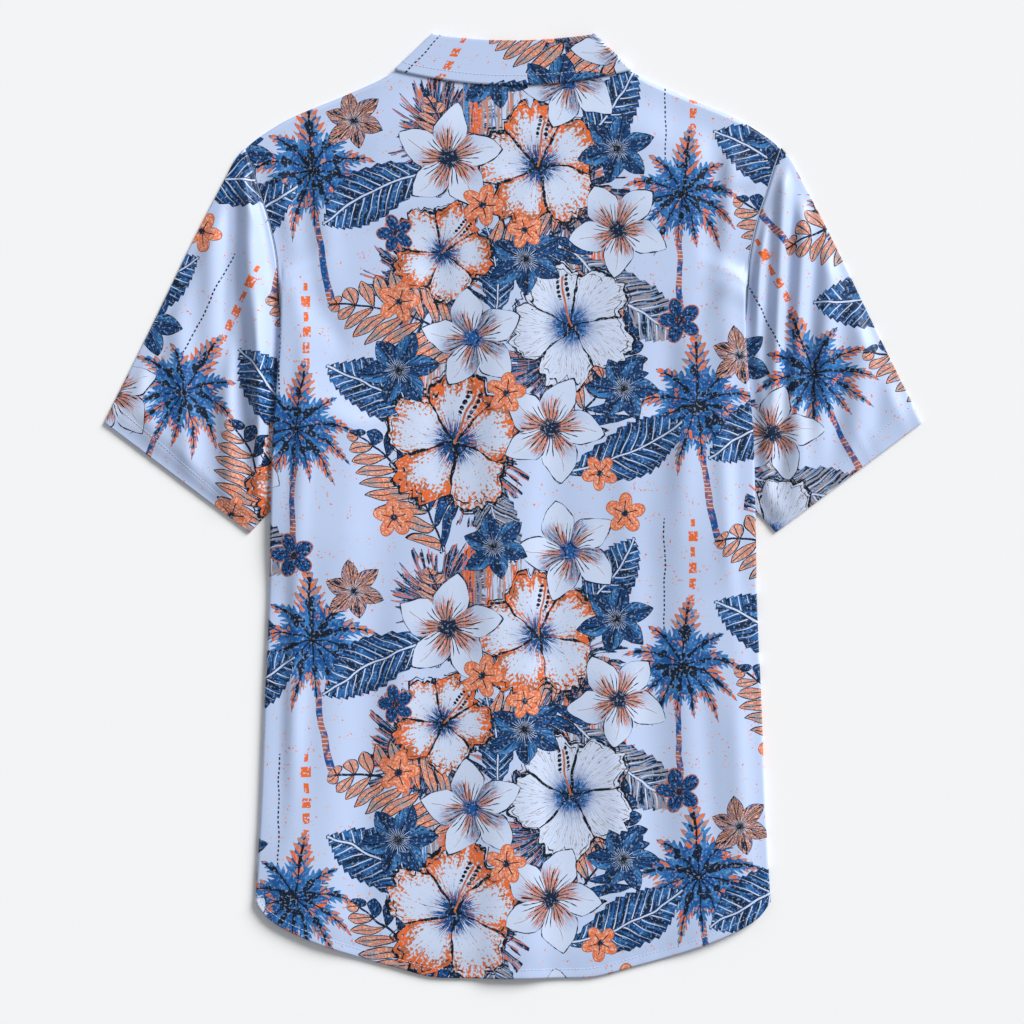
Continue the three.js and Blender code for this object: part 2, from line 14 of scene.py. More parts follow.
import bpy
import numpy as np
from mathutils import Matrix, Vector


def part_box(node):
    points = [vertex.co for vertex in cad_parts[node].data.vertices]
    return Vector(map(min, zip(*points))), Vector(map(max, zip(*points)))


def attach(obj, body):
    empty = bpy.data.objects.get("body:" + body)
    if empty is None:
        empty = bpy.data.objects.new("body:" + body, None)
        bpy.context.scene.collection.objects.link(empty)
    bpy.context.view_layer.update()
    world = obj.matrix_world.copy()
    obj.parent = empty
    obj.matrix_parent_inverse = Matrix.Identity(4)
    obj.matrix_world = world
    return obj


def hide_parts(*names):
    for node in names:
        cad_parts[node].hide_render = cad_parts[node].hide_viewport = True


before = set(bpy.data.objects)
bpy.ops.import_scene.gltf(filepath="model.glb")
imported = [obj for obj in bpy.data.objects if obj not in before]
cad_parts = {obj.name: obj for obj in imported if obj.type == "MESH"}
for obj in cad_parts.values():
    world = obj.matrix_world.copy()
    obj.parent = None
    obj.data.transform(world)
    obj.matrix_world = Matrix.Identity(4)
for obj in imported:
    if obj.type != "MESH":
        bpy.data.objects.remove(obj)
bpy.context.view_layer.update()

LOG = logging.getLogger("hawaiian_shirt")
MM = 0.001
HEM_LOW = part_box("back")[0].y / MM  # the frame's y at the lowest point of the hem

# Cloth layers
CLOTH_SOLID = 1.0  # wall of the solids
LAYER = 1.4  # from one layer's middle to the next
HALF = CLOTH_SOLID / 2
CLOTH_SHOWN = 0.45  # printed polyester with its finish, as shown

# Body
SIDE_HEM = 65.0  # the hem's height at the sides
SHOULDER_TIP = (227.5, 706.5)
NECK_POINT = (88.0, 776.0)
BACK_NECK = 766.0
CROSSING = 611.0  # the height above which the sides aren't turned under
TURNED = 565.0  # the height below which they are turned right under
SIDE_RAMP = 45.0  # the width over which the middle rises to the turned side
BACK_RADIUS = 1.5 * LAYER  # of the back's bend at the side
FRONT_RADIUS = 0.5 * LAYER
LEAST_FLAP = 1.6  # the least cloth beyond the bend
BEND_SPREAD = 2.0  # what the bend takes up where the side isn't turned
SLEEVE_LIFT = 2 * LAYER  # the two layers of the sleeve beneath the side
SLEEVE_LIFT_ENDS = 325.0  # the height below which no sleeve is beneath
SLEEVE_LIFT_FULL = 385.0
BODY_AIR = 3.0  # how high the back lies off the fronts
FOLD_DEPTH = 1.5  # the tables' heights of creases are taken times this
HEM_BAND = 7.5
BAND_RISE = 0.45  # how much a turned band stands above its panel
SEAM_ROLL = 1.3  # thickness of the seam allowance's roll
LEAST_THREAD = 0.65  # the lowest line of stitches, so that no thread goes into the floor

# Front
OVERLAP = 15.0  # how far each front goes past the middle
TOP_OF_FRONT_EDGE = 650.0  # above this the front's edge runs off towards the neck
FRONT_HEM_RISE = 4.0  # how much higher than the back's the front's hem lies
OVERLAP_OPENS = (676.0, 708.0)  # the heights between which the overlap ends
LAPEL_NECK = (57.0, 737.0)  # where the collar's notch meets it
LAPEL_POINT = (93.0, 699.0)
LAPEL_BREAK = (5.0, 675.0)  # the lower end of its roll

# Buttons
BUTTON_WIDTH = 11.5
BUTTON_DISH = 3.5  # the radius at which the dish rises to the rim
BUTTON_THICK = 2.0
BUTTON_HOLE = 1.8
HOLE_PITCH = 2.9
HOLE_THREAD = 0.55  # thickness of the bars of thread through the holes
BUTTON_RIM = 0.45  # radius of its rounded edge
BUTTON_SKIN = 0.03  # half of what closes a hole in its middle, under the thread
BUTTON_COUNT = 6

# Sleeve
CUFF_OUTER = (348.5, 473.5)
CUFF_INNER = (223.5, 379.5)
CUFF_BAND = 20.5
SLEEVE_LENGTH = 266.0
SLEEVE_RADIUS = LAYER / 2
SLEEVE_AIR = 4.2  # how high the upper layer lies off the lower one
LEAST_AIR = 0.4  # what a trough leaves between the sleeve's two layers
UNDERARM = (147.0, 462.0)

# Collar
ROLL_CENTRE = 797.5  # the top edge at the centre back
ROLL_CORNER = (68.0, 803.0)
FREE_EDGE_CENTRE = 760.0
FREE_EDGE_CORNER = (99.6, 772.8)
COLLAR_POINT = (107.0, 712.0)
NOTCH = (59.5, 741.0)
COLLAR_BACK = 0.5  # the share of its half length that lies along the back
COLLAR_SIDE = 0.56  # the share at which it has turned round to the fronts
STAND_RADIUS = 0.5 * LAYER
FALL_RADIUS = 1.5 * LAYER


@dataclass(frozen=True)
class Curve:
    """A smooth curve through a short table, without overshoot.

    Args:
        at: Where the values stand, rising.
        value: The values.
    """

    at: tuple[float, ...]
    value: tuple[float, ...]

    def __call__(self, place: np.ndarray | float) -> np.ndarray:
        """Returns the curve's value at each place.

        Between two rows it is a cubic whose slopes are the harmonic means of the straight slopes
        on either side, or nothing where those turn.
        """
        x, y = np.array(self.at, float), np.array(self.value, float)
        slope = np.diff(y) / np.diff(x)
        before, after = slope[:-1], slope[1:]
        total = np.where(before * after > 0, before + after, 1.0)
        inner = np.where(before * after > 0, 2 * before * after / total, 0.0)
        tangent = np.concatenate([slope[:1], inner, slope[-1:]])
        place = np.clip(np.asarray(place, float), x[0], x[-1])
        i = np.clip(np.searchsorted(x, place, side="right") - 1, 0, len(x) - 2)
        step = x[i + 1] - x[i]
        t = (place - x[i]) / step
        u = 1 - t
        low = y[i] * (1 + 2 * t) * u * u + tangent[i] * step * t * u * u
        return low + y[i + 1] * (3 - 2 * t) * t * t - tangent[i + 1] * step * t * t * u


SIDE_HEIGHTS = (
    (65, 150, 240, 320, 390, 462, 468, 478, 495, 520, 545, 578)
    + (611, 645, 668, 688, 706.5)
)
LAID = Curve(
    SIDE_HEIGHTS,
    (219.5, 215, 211.6, 208, 206.6, 204.8, 204.4, 203.6, 202.2, 200.2, 198.5, 197.8)
    + (200.2, 207, 214.6, 220.8, 227.5),
)
CUT = Curve(
    SIDE_HEIGHTS,
    (268, 266, 265, 264.5, 264, 263, 252, 236, 219, 207, 201.2, 198.4)
    + (200.2, 207, 214.6, 220.8, 227.5),
)
HEM = Curve((0, 60, 104, 156, 193, 210, 219.5, 236, 268), (0, 0.6, 10.5, 26, 41.5, 53, 65, 73, 76))
TOP = Curve(
    (0, 45, 88, 117.6, 149, 190, 217.7, 227.5),
    (766, 768.5, 775.6, 762.5, 749, 731.8, 714.8, 706.5),
)
FOLD_AT = (0, 0.045, 0.12, 0.32, 0.66, 1)
FOLD_ACROSS = Curve(FOLD_AT, (228.6, 236.4, 245.4, 271.4, 313, 348.5))
FOLD_UP = Curve(FOLD_AT, (707.4, 697.8, 680.8, 630.4, 544.6, 473.5))
ARMHOLE_AT = (0, 0.08, 0.17, 0.27, 0.41, 0.49, 0.55, 0.6, 0.67, 0.76, 0.88, 1)
ARMHOLE_ACROSS = Curve(
    ARMHOLE_AT, (228.6, 222.2, 216, 208.6, 201.8, 200.2, 199.2, 197, 194, 189, 175, 147)
)
ARMHOLE_UP = Curve(ARMHOLE_AT, (707.4, 688, 668, 645, 611, 590, 574, 558, 540, 512, 480, 462))


@dataclass(frozen=True)
class Crease:
    """A ridge, or a trough where rise is below 0, from one point to another.

    Args:
        start: Its first end, across and up.
        end: Its other end.
        width: How wide its bell is.
        rise: Its height.
    """

    start: tuple[float, float]
    end: tuple[float, float]
    width: float
    rise: float


BACK_CREASES = (
    Crease((-194, 340), (-201, 120), 9, -2.4),
    Crease((-183, 350), (-188, 180), 8, 1.9),
    Crease((-168, 330), (-176, 150), 12, -1),
    Crease((-86, 600), (-84, 520), 12, 1.9),
    Crease((-66, 620), (-60, 420), 15, -1.5),
    Crease((150, 570), (144, 390), 11, 1.7),
    Crease((132, 560), (128, 420), 13, -1.1),
    Crease((190, 730), (180, 640), 6, 1.9),
    Crease((176, 735), (166, 590), 9, -2.2),
    Crease((160, 725), (148, 640), 7, 1.2),
    Crease((206, 690), (190, 655), 4, -1.3),
    Crease((203, 672), (176, 668), 4, -0.9),
    Crease((-206, 694), (-194, 636), 7, 1.7),
    Crease((-184, 706), (-172, 560), 10, -2),
    Crease((-164, 690), (-152, 590), 9, 0.9),
    Crease((120, 330), (126, 90), 18, -1.9),
    Crease((-120, 380), (-130, 60), 20, -1.8),
    Crease((30, 420), (38, 120), 22, -1.7),
    Crease((-96, 300), (-104, 90), 16, 1.7),
    Crease((96, 470), (104, 300), 14, 1.6),
    Crease((196, 620), (150, 552), 8, -1.2),
    Crease((190, 560), (170, 470), 8, 1),
    Crease((189, 500), (197, 320), 8, -1.7),
    Crease((176, 480), (183, 350), 7, 1.3),
    Crease((-190, 610), (-146, 540), 9, -1.2),
    Crease((-188, 540), (-193, 400), 7, -1.6),
    Crease((-176, 500), (-182, 370), 7, 1.2),
    Crease((72, 700), (62, 540), 18, -1),
    Crease((-22, 340), (-32, 150), 16, 1),
    Crease((84, 260), (94, 60), 12, 1.2),
    Crease((160, 260), (172, 100), 10, -1.3),
    Crease((188, 230), (196, 110), 8, 1),
)

LEFT_SLEEVE_CREASES = (
    Crease((-224, 706), (-223, 600), 8, 3.4),
    Crease((-223, 610), (-214, 470), 8, 3.6),
    Crease((-238, 690), (-242, 530), 9, -3.6),
    Crease((-254, 660), (-262, 520), 10, 2.2),
    Crease((-214, 666), (-208, 596), 5, -1.6),
    Crease((-230, 560), (-228, 440), 7, -3.2),
    Crease((-264, 600), (-260, 440), 12, -1.9),
    Crease((-284, 560), (-276, 430), 9, 1.7),
    Crease((-286, 600), (-312, 490), 9, -1.5),
    Crease((-244, 500), (-243, 410), 7, 1.8),
    Crease((-318, 520), (-306, 450), 8, 1),
    Crease((-216, 560), (-214, 425), 6, 3.4),
    Crease((-240, 540), (-238, 420), 7, 1.8),
)

RIGHT_SLEEVE_CREASES = (
    Crease((214, 680), (206, 560), 6, 2.4),
    Crease((222, 676), (213, 520), 6, -2.6),
    Crease((230, 668), (222, 470), 6, 3.4),
    Crease((238, 660), (230, 500), 6, -3.2),
    Crease((248, 650), (240, 520), 6, 2.6),
    Crease((258, 636), (250, 480), 7, -2.8),
    Crease((270, 610), (262, 470), 8, 1.9),
    Crease((284, 590), (272, 440), 10, -1.9),
    Crease((300, 560), (290, 440), 9, 1.4),
    Crease((316, 540), (308, 450), 9, -1.3),
    Crease((228, 500), (226, 420), 7, -2.8),
    Crease((246, 480), (242, 410), 7, 1.6),
)


def smooth(low: float, high: float, at: np.ndarray | float) -> np.ndarray:
    """Returns 0 below low, 1 above high, and a smooth step between them."""
    t = np.clip((np.asarray(at, float) - low) / (high - low), 0, 1)
    return t * t * (3 - 2 * t)


def mix(a: np.ndarray | float, b: np.ndarray | float, share: np.ndarray | float) -> np.ndarray:
    """Returns a where share is 0, b where it is 1, and in proportion between."""
    return a + (b - a) * share


def relief(creases: Sequence[Crease], x: np.ndarray, y: np.ndarray) -> np.ndarray:
    """Returns the creases' height at each place.

    Each falls off like a bell across, by the square of the distance over its width, and smoothly
    towards its ends.
    """
    total = np.zeros(np.broadcast(x, y).shape)
    for crease in creases:
        along = np.subtract(crease.end, crease.start)
        length = math.hypot(*along)
        dx, dy = x - crease.start[0], y - crease.start[1]
        share = (dx * along[0] + dy * along[1]) / length**2
        off = (dx * along[1] - dy * along[0]) / length / crease.width
        ends = smooth(-0.25, 0.2, share) * (1 - smooth(0.75, 1.25, share))
        total = total + crease.rise * ends * np.exp(-off * off)
    return FOLD_DEPTH * total


def band_relief(inward: np.ndarray, band: float, along: np.ndarray) -> np.ndarray:
    """Returns the relief of a turned and stitched band.

    It is a step up to the band, a shallow ditch along the stitches, and the small puckers that
    their thread draws.

    Args:
        inward: How far each place is from the band's outer edge.
        band: How wide the band is.
        along: The place along the band, in any unit that goes round it slowly.
    """
    step = BAND_RISE * (1 - smooth(band - 0.9, band + 0.9, inward))
    ditch = -0.35 * np.exp(-(((inward - band + 1.2) / 1.1) ** 2))
    wave = np.sin(along * 61 + 2 * np.sin(along * 17))
    pucker = 0.16 * wave * np.exp(-((inward / band - 1) ** 2))
    return step + ditch + pucker


def turn_at(height: np.ndarray) -> np.ndarray:
    """Returns how far the body's side is turned under, from 0 to 1."""
    return 1 - smooth(TURNED, CROSSING, height)


@dataclass(frozen=True)
class Spine:
    """The line that the body's side bends along, for each row: first the turn, then the flap.

    Args:
        height: The rows' heights on the side, in one column.
        turns: How many points take the turn.
        unders: How many points the flap has.
    """

    height: np.ndarray
    turns: int = 8
    unders: int = 12

    def bend(self) -> tuple[np.ndarray, np.ndarray, np.ndarray, np.ndarray]:
        """Returns the spine's x, its z, the angle at each point, and how far it lifts the side.

        The spine goes forward a little at each step of the turn, in the direction that it has
        there, and then straight on for as long as the cloth is turned under.
        """
        laid = LAID(self.height)
        centre = laid - HALF - BACK_RADIUS
        turn = turn_at(self.height)
        angle = math.pi * turn
        turned = np.maximum(LEAST_FLAP, centre - (2 * laid - CUT(self.height)))
        reach = mix(laid - centre - BEND_SPREAD, turned, turn)
        steps = np.arange(1, self.turns + 1) / self.turns
        advance = BEND_SPREAD * (1 - turn) / self.turns
        x = centre + np.cumsum(advance * np.cos(steps * angle), axis=1)
        z = -np.cumsum(advance * np.sin(steps * angle), axis=1)
        beyond = np.arange(1, self.unders + 1) / self.unders
        x = np.hstack([x, x[:, -1:] + beyond * reach * np.cos(angle)])
        z = np.hstack([z, z[:, -1:] - beyond * reach * np.sin(angle)])
        angles = np.hstack([steps * angle, np.repeat(angle, self.unders, axis=1)])
        # Below the middle each cloth's bend needs this depth, so the middle is lifted by it.
        drop = [np.max(r * (1 - np.cos(angles)) - z, axis=1) for r in (BACK_RADIUS, FRONT_RADIUS)]
        lift = np.maximum(0, np.maximum(drop[0] - LAYER, drop[1]))
        return x, z, angles, lift[:, None]


def sleeve_lift(height: np.ndarray) -> np.ndarray:
    """Returns how far the sleeve beneath lifts the turned side."""
    above = smooth(SLEEVE_LIFT_ENDS, SLEEVE_LIFT_FULL, height)
    return SLEEVE_LIFT * above * smooth(0, 0.4, turn_at(height))


def front_level(x: np.ndarray, y: np.ndarray, height: np.ndarray) -> np.ndarray:
    """Returns how high a front's middle lies over the sides, the collar and the buttons."""
    flap_end = 2 * LAID(height) - CUT(height)
    lift = Spine(height).bend()[3] + sleeve_lift(height)
    near_side = smooth(0, SIDE_RAMP, np.abs(x) - (flap_end - 4 - SIDE_RAMP))
    # The top of the fronts lies on the lapels, and their middle on the buttons.
    collar = LAYER * smooth(630, 660, y) * (1 - smooth(112, 140, np.abs(x)))
    room = BUTTON_THICK + LAYER - CLOTH_SOLID
    button = room * (1 - smooth(9, 34, np.abs(x))) * (1 - smooth(*OVERLAP_OPENS, y))
    return HALF + lift * near_side + np.maximum(collar, button)


def overlap_lift(x: np.ndarray, y: np.ndarray) -> np.ndarray:
    """Returns the extra layer where one front lies over the other."""
    beside = 1 - smooth(OVERLAP + 1, OVERLAP + 30, np.abs(x))
    return LAYER * beside * (1 - smooth(*OVERLAP_OPENS, y))


def back_level(x: np.ndarray, y: np.ndarray, height: np.ndarray) -> np.ndarray:
    """Returns how high the back's middle lies, with the air and the creases of laid cloth."""
    # The air and the creases end towards the sides, the hem and the shoulders.
    inside = smooth(2, 22, LAID(height) - np.abs(x))
    above = smooth(-10, 30, y - HEM(np.abs(x)))
    below = smooth(12, 50, TOP(np.abs(x)) - y)
    # A trough deeper than the air runs out flat on the layer beneath.
    lifted = np.logaddexp(0, 2 * (BODY_AIR + relief(BACK_CREASES, x, y))) / 2
    free = inside * above * below * lifted
    inward = (height - SIDE_HEM) * BACK_NECK / (SHOULDER_TIP[1] - SIDE_HEM)
    hem = band_relief(inward, HEM_BAND, x / 30)
    return front_level(x, y, height) + overlap_lift(x, y) + LAYER + free + hem


def body_height(across: np.ndarray, height: np.ndarray, rise: np.ndarray | float) -> np.ndarray:
    """Returns how far up a row of this height on the side lies at each place across."""
    share = (height - SIDE_HEM) / (SHOULDER_TIP[1] - SIDE_HEM)
    q = np.minimum(1, across / LAID(height))
    return mix(HEM(q * LAID.value[0]) + rise, TOP(q * SHOULDER_TIP[0]), share)


def turned_side(
    height: np.ndarray, rise: np.ndarray | float, level: Callable, radius: float, side: int
) -> np.ndarray:
    """Returns the points of each row that bend round the side and go on beneath."""
    spine = Spine(height)
    x, z, angle, _ = spine.bend()
    laid = LAID(height)
    centre = laid - HALF - BACK_RADIUS
    top = level(side * centre, body_height(centre, height, rise), height)
    up = body_height(laid, height, rise)
    under = np.clip((np.arange(x.shape[1]) + 1 - spine.turns) / spine.unders, 0, 1)
    share = (height - SIDE_HEM) / (SHOULDER_TIP[1] - SIDE_HEM)
    # Towards the hem the turned part's rows take up the curve of the hem.
    fade = (1 - share) ** 8 * turn_at(height)
    hem = (HEM(mix(laid, CUT(height), under)) - SIDE_HEM) * fade
    across = side * (x + radius * np.sin(angle))
    return np.dstack([across, up + hem, top + z - radius + radius * np.cos(angle)])


def body_rows(step: float) -> np.ndarray:
    """Returns the heights of the body's rows, closer at the hem's band and at the turn."""
    # The hem's rows stand closest at its band's inner edge.
    hem = SIDE_HEM + np.array([0, 1.2, 3, 5, 6.4, 7.0, 7.6, 8.6, 10.5, 13])
    turn = np.arange(CROSSING - 55, CROSSING + 4, step * 0.6)
    low = np.arange(SIDE_HEM + 16, turn[0] - step / 2, step)
    high = np.linspace(turn[-1] + step, SHOULDER_TIP[1], int((SHOULDER_TIP[1] - turn[-1]) / step))
    return np.concatenate([hem, low, turn, high])[:, None]


def unrolled(points: np.ndarray, middle: int, flip: int) -> np.ndarray:
    """Returns the flat cut of body points: how far along its row each one lies, and its height."""
    steps = np.diff(points[..., [0, 2]], axis=1)
    length = np.hypot(steps[..., 0], steps[..., 1])
    along = np.hstack([np.zeros((len(points), 1)), np.cumsum(length, axis=1)])
    along = along - along[:, middle : middle + 1] + points[:, middle : middle + 1, 0]
    return np.dstack([flip * along, points[..., 1]])


def back_surface(step: float) -> tuple[np.ndarray, np.ndarray]:
    """Returns the back's middle surface from its hem up, and its flat cut."""
    height = body_rows(step)
    count = int(200 / step)
    columns = np.linspace(-1, 1, 2 * count + 1)
    x = columns * (LAID(height) - HALF - BACK_RADIUS)
    y = body_height(np.abs(x), height, 0)
    z = back_level(x, y, height)
    left = turned_side(height, 0, back_level, BACK_RADIUS, -1)[:, ::-1]
    right = turned_side(height, 0, back_level, BACK_RADIUS, 1)
    points = np.hstack([left, np.dstack([x, y, z]), right])
    return points, unrolled(points, points.shape[1] // 2, 1)


def front_surface(side: int, step: float) -> tuple[np.ndarray, np.ndarray]:
    """Returns a front's middle surface from its hem up, and its flat cut seen from outside."""

    def level(x: np.ndarray, y: np.ndarray, height: np.ndarray) -> np.ndarray:
        """Returns this front's height: the right one lies over the left one's edge."""
        return front_level(x, y, height) + (overlap_lift(x, y) if side > 0 else 0)

    height = body_rows(step)
    rise = FRONT_HEM_RISE * (1 - smooth(SIDE_HEM, 200, height))
    share = (height - SIDE_HEM) / (SHOULDER_TIP[1] - SIDE_HEM)
    to_neck = BACK_NECK - TOP_OF_FRONT_EDGE
    climb = np.maximum(0, (share * BACK_NECK - TOP_OF_FRONT_EDGE) / to_neck)
    edge = mix(-OVERLAP, NECK_POINT[0], climb)
    centre = LAID(height) - HALF - BACK_RADIUS
    x = mix(edge, centre, np.linspace(0, 1, int(215 / step)))
    y = body_height(np.abs(x), height, rise)
    flat = np.dstack([side * x, y, level(side * x, y, height)])
    points = np.hstack([flat, turned_side(height, rise, level, FRONT_RADIUS, side)])
    points = points if side > 0 else points[:, ::-1]
    first = 0 if side > 0 else points.shape[1] - 1
    return points, unrolled(points, first, -1)


def sleeve_plan(s: np.ndarray, t: np.ndarray) -> np.ndarray:
    """Returns places on the sleeve from above: s from armhole to cuff, t from fold to underarm.

    It is the patch between the four edges: each pair of facing edges blended straight, added, less
    the straight blend of the four corners.
    """

    def edge(across: Curve, up: Curve, at: np.ndarray) -> np.ndarray:
        """Returns points of a curved edge."""
        return np.stack([across(at), up(at)], axis=-1)

    s, t = s[..., None], t[..., None]
    cuff = mix(np.array(CUFF_OUTER), np.array(CUFF_INNER), t)
    armhole = edge(ARMHOLE_ACROSS, ARMHOLE_UP, t[..., 0])
    fold = edge(FOLD_ACROSS, FOLD_UP, s[..., 0])
    seam = mix(np.array(UNDERARM), np.array(CUFF_INNER), s)
    tip = edge(ARMHOLE_ACROSS, ARMHOLE_UP, np.zeros(1))
    corners = mix(mix(tip, np.array(UNDERARM), t), cuff, s)
    return mix(armhole, cuff, s) + mix(fold, seam, t) - corners


def rows_above_band(step: float) -> int:
    """Returns how many rows of points a sleeve has above the rows at its cuff's band."""
    return int(240 / step)


def sleeve_surface(
    side: int, creases: Sequence[Crease], step: float
) -> tuple[np.ndarray, np.ndarray]:
    """Returns the sleeve's middle surface from armhole to cuff, all round, and its flat cut."""
    band = 1 - CUFF_BAND / SLEEVE_LENGTH
    # Rows stand close together at the inner edge of the cuff's band, and at the cuff.
    edge_rows = band + np.array([-0.012, -0.004, 0.0, 0.004, 0.012])
    last_rows = np.array([0.95, 0.97, 0.985, 0.995, 1.0])
    above = np.linspace(0, band - 0.02, rows_above_band(step))
    s = np.concatenate([above, edge_rows, last_rows])
    # The upper layer shows, so its points stand closer than the lower one's.
    upper_t = np.linspace(0, 1, int(200 / step))
    lower_t = np.linspace(1, 0, int(110 / step))
    away = sleeve_plan(np.ones(1), np.zeros(1)) - sleeve_plan(np.zeros(1), np.zeros(1))
    away = away[0] / np.linalg.norm(away)
    inset = HALF + SLEEVE_RADIUS

    def place(t: np.ndarray) -> np.ndarray:
        """Returns a layer's points from above, as far in from its folds as they bend."""
        rows, columns = np.meshgrid(s, t, indexing="ij")
        lead = sleeve_plan(rows, np.minimum(1, columns + 0.01))
        lead = lead - sleeve_plan(rows, np.maximum(0, columns - 0.01))
        lead = lead / np.linalg.norm(lead, axis=-1, keepdims=True)
        return sleeve_plan(rows, columns) + lead * (inset * (1 - 2 * columns))[..., None]

    def rise(plan: np.ndarray, t: np.ndarray) -> np.ndarray:
        """Returns how high the upper layer lies with its air, its creases and its band.

        It lies flat at its edges, and where the body covers it.
        """
        clear = smooth(2, 12, plan[..., 0] - LAID(np.maximum(plan[..., 1], SIDE_HEM)))
        inside = smooth(0, 0.1, t) * smooth(0, 0.1, 1 - t)
        ends = smooth(0, 0.06, s) * smooth(0, 0.13, 1 - s)
        lifted = SLEEVE_AIR + relief(creases, side * plan[..., 0], plan[..., 1])
        lifted = LEAST_AIR + np.logaddexp(0, 2 * (lifted - LEAST_AIR)) / 2
        from_cuff = (1 - s[:, None]) * SLEEVE_LENGTH
        return clear * inside * ends[:, None] * lifted + band_relief(from_cuff, CUFF_BAND, t)

    def bend(t: float, start: int) -> tuple[np.ndarray, np.ndarray]:
        """Returns the round edge between the layers: its points from above, and their height."""
        share = np.array([0.2, 0.4, 0.6, 0.8])
        plan = place(np.full(share.size, t))
        lead = sleeve_plan(s, np.full(s.size, min(1, t + 0.01)))
        lead = lead - sleeve_plan(s, np.full(s.size, max(0, t - 0.01)))
        lead = lead / np.linalg.norm(lead, axis=-1, keepdims=True)
        out = SLEEVE_RADIUS * np.sin(math.pi * share) * start
        z = HALF + SLEEVE_RADIUS * (1 + start * np.cos(math.pi * share))
        return plan + lead[:, None] * out[:, None], np.broadcast_to(z, plan.shape[:2])

    upper, lower = place(upper_t), place(lower_t)
    seam, fold = bend(1.0, 1), bend(0.0, -1)
    plan = np.hstack([upper, seam[0], lower, fold[0]])
    z = np.hstack(
        [
            HALF + LAYER + rise(upper, upper_t[None]),
            seam[1],
            np.full(lower.shape[:2], HALF),
            fold[1],
        ]
    )
    points = np.dstack([side * plan[..., 0], plan[..., 1], z])
    tip = np.array(SHOULDER_TIP)
    grain = -away
    right = np.array([grain[1], -grain[0]])
    from_fold = (plan - tip) @ right
    # From the middle of the seam's bend to the middle of the fold's, the cloth is beneath.
    beneath = np.zeros(points.shape[1], bool)
    beneath[upper_t.size + 2 : upper_t.size + lower_t.size + 6] = True
    from_fold = np.where(beneath[None], -from_fold, from_fold)
    flat = np.dstack([side * from_fold, (plan - tip) @ grain])
    return (points, flat) if side > 0 else (points[:, ::-1], flat[:, ::-1])


def collar_points(place: np.ndarray, layer: str, share: np.ndarray) -> np.ndarray:
    """Returns points of the collar at each place, 0 at the centre back and 1 at the points.

    Args:
        place: Where along the collar, in one column.
        layer: Which part of its section: stand, roll or fall.
        share: Where in that part, in one row.
    """
    back = np.minimum(1, place / COLLAR_BACK)
    front = np.maximum(0, (place - COLLAR_SIDE) / (1 - COLLAR_SIDE))
    angle = math.pi * smooth(COLLAR_BACK, COLLAR_SIDE, place)
    bow = back * back

    def line(across: float, centre: float, corner: float, end: tuple[float, float]) -> np.ndarray:
        """Returns a line along the collar, from its centre back round its corner to its end."""
        x = mix(back * across, end[0], front)
        y = mix(mix(centre, corner, bow), end[1], front)
        return np.stack([x, y], axis=-1)

    # The seam lies in the neck, the roll is the top edge, and the free edge lies on the back.
    seam = line(NECK_POINT[0] - 4, BACK_NECK + 1, NECK_POINT[1] + 2, (NOTCH[0] + 2, NOTCH[1] + 3))
    roll = line(ROLL_CORNER[0], ROLL_CENTRE, ROLL_CORNER[1], NOTCH)
    edge = line(FREE_EDGE_CORNER[0], FREE_EDGE_CENTRE, FREE_EDGE_CORNER[1], COLLAR_POINT)
    outward = np.subtract(FREE_EDGE_CORNER, ROLL_CORNER) * (1, -1)
    outward = outward[::-1] / np.linalg.norm(outward)
    share = share[..., None]
    if layer == "stand":
        plan = mix(seam, roll, share)
        radius = np.array(STAND_RADIUS)
    elif layer == "roll":
        beyond = (roll - edge) / np.linalg.norm(roll - edge, axis=-1, keepdims=True)
        plan = roll + beyond * STAND_RADIUS * np.sin(math.pi * share)
        radius = mix(STAND_RADIUS, FALL_RADIUS, (1 - np.cos(math.pi * share[..., 0])) / 2)
    else:
        plan = mix(roll, edge, share)
        radius = np.array(FALL_RADIUS)
    push = radius * np.sin(angle) - HALF * smooth(0.3, COLLAR_BACK, place)
    plan = plan + outward * push[..., None]
    z = HALF + FALL_RADIUS + radius * np.cos(angle)
    return np.dstack([plan, np.broadcast_to(z, plan.shape[:2])])


def collar_surface() -> tuple[np.ndarray, np.ndarray]:
    """Returns the collar's middle surface from left to right, and its flat cut."""
    # Points stand closest where the collar turns from the back to the fronts.
    steps = np.concatenate(
        [np.linspace(0, 0.49, 50), np.linspace(0.495, 0.565, 15), np.linspace(0.575, 1, 40)]
    )
    parts = (
        ("stand", np.linspace(0, 1, 9)[:-1]),
        ("roll", np.linspace(0, 1, 9)),
        ("fall", np.linspace(0, 1, 19)[1:]),
    )
    half = np.hstack([collar_points(steps[:, None], layer, share[None]) for layer, share in parts])
    other = half[:0:-1] * (-1, 1, 1)
    points = np.vstack([other, half])
    along = np.linalg.norm(np.diff(half, axis=0), axis=-1).mean(axis=1)
    along = np.concatenate([[0], np.cumsum(along)])
    place = np.concatenate([-along[:0:-1], along])
    across = np.linalg.norm(np.diff(points, axis=1), axis=-1)
    down = np.hstack([np.zeros((len(points), 1)), -np.cumsum(across, axis=1)])
    return points, np.dstack([np.broadcast_to(place[:, None], down.shape), down])


def linear(colour: str) -> tuple[float, float, float, float]:
    """Returns an sRGB hex colour as linear red, green, blue and full alpha."""
    parts = [int(colour[i : i + 2], 16) / 255 for i in (1, 3, 5)]
    straight = [c / 12.92 if c <= 0.04045 else ((c + 0.055) / 1.055) ** 2.4 for c in parts]
    return (*straight, 1.0)


def to_frame(points: np.ndarray) -> np.ndarray:
    """Returns table places as metres in the CAD frame."""
    return (points + (0, HEM_LOW, 0)) * MM


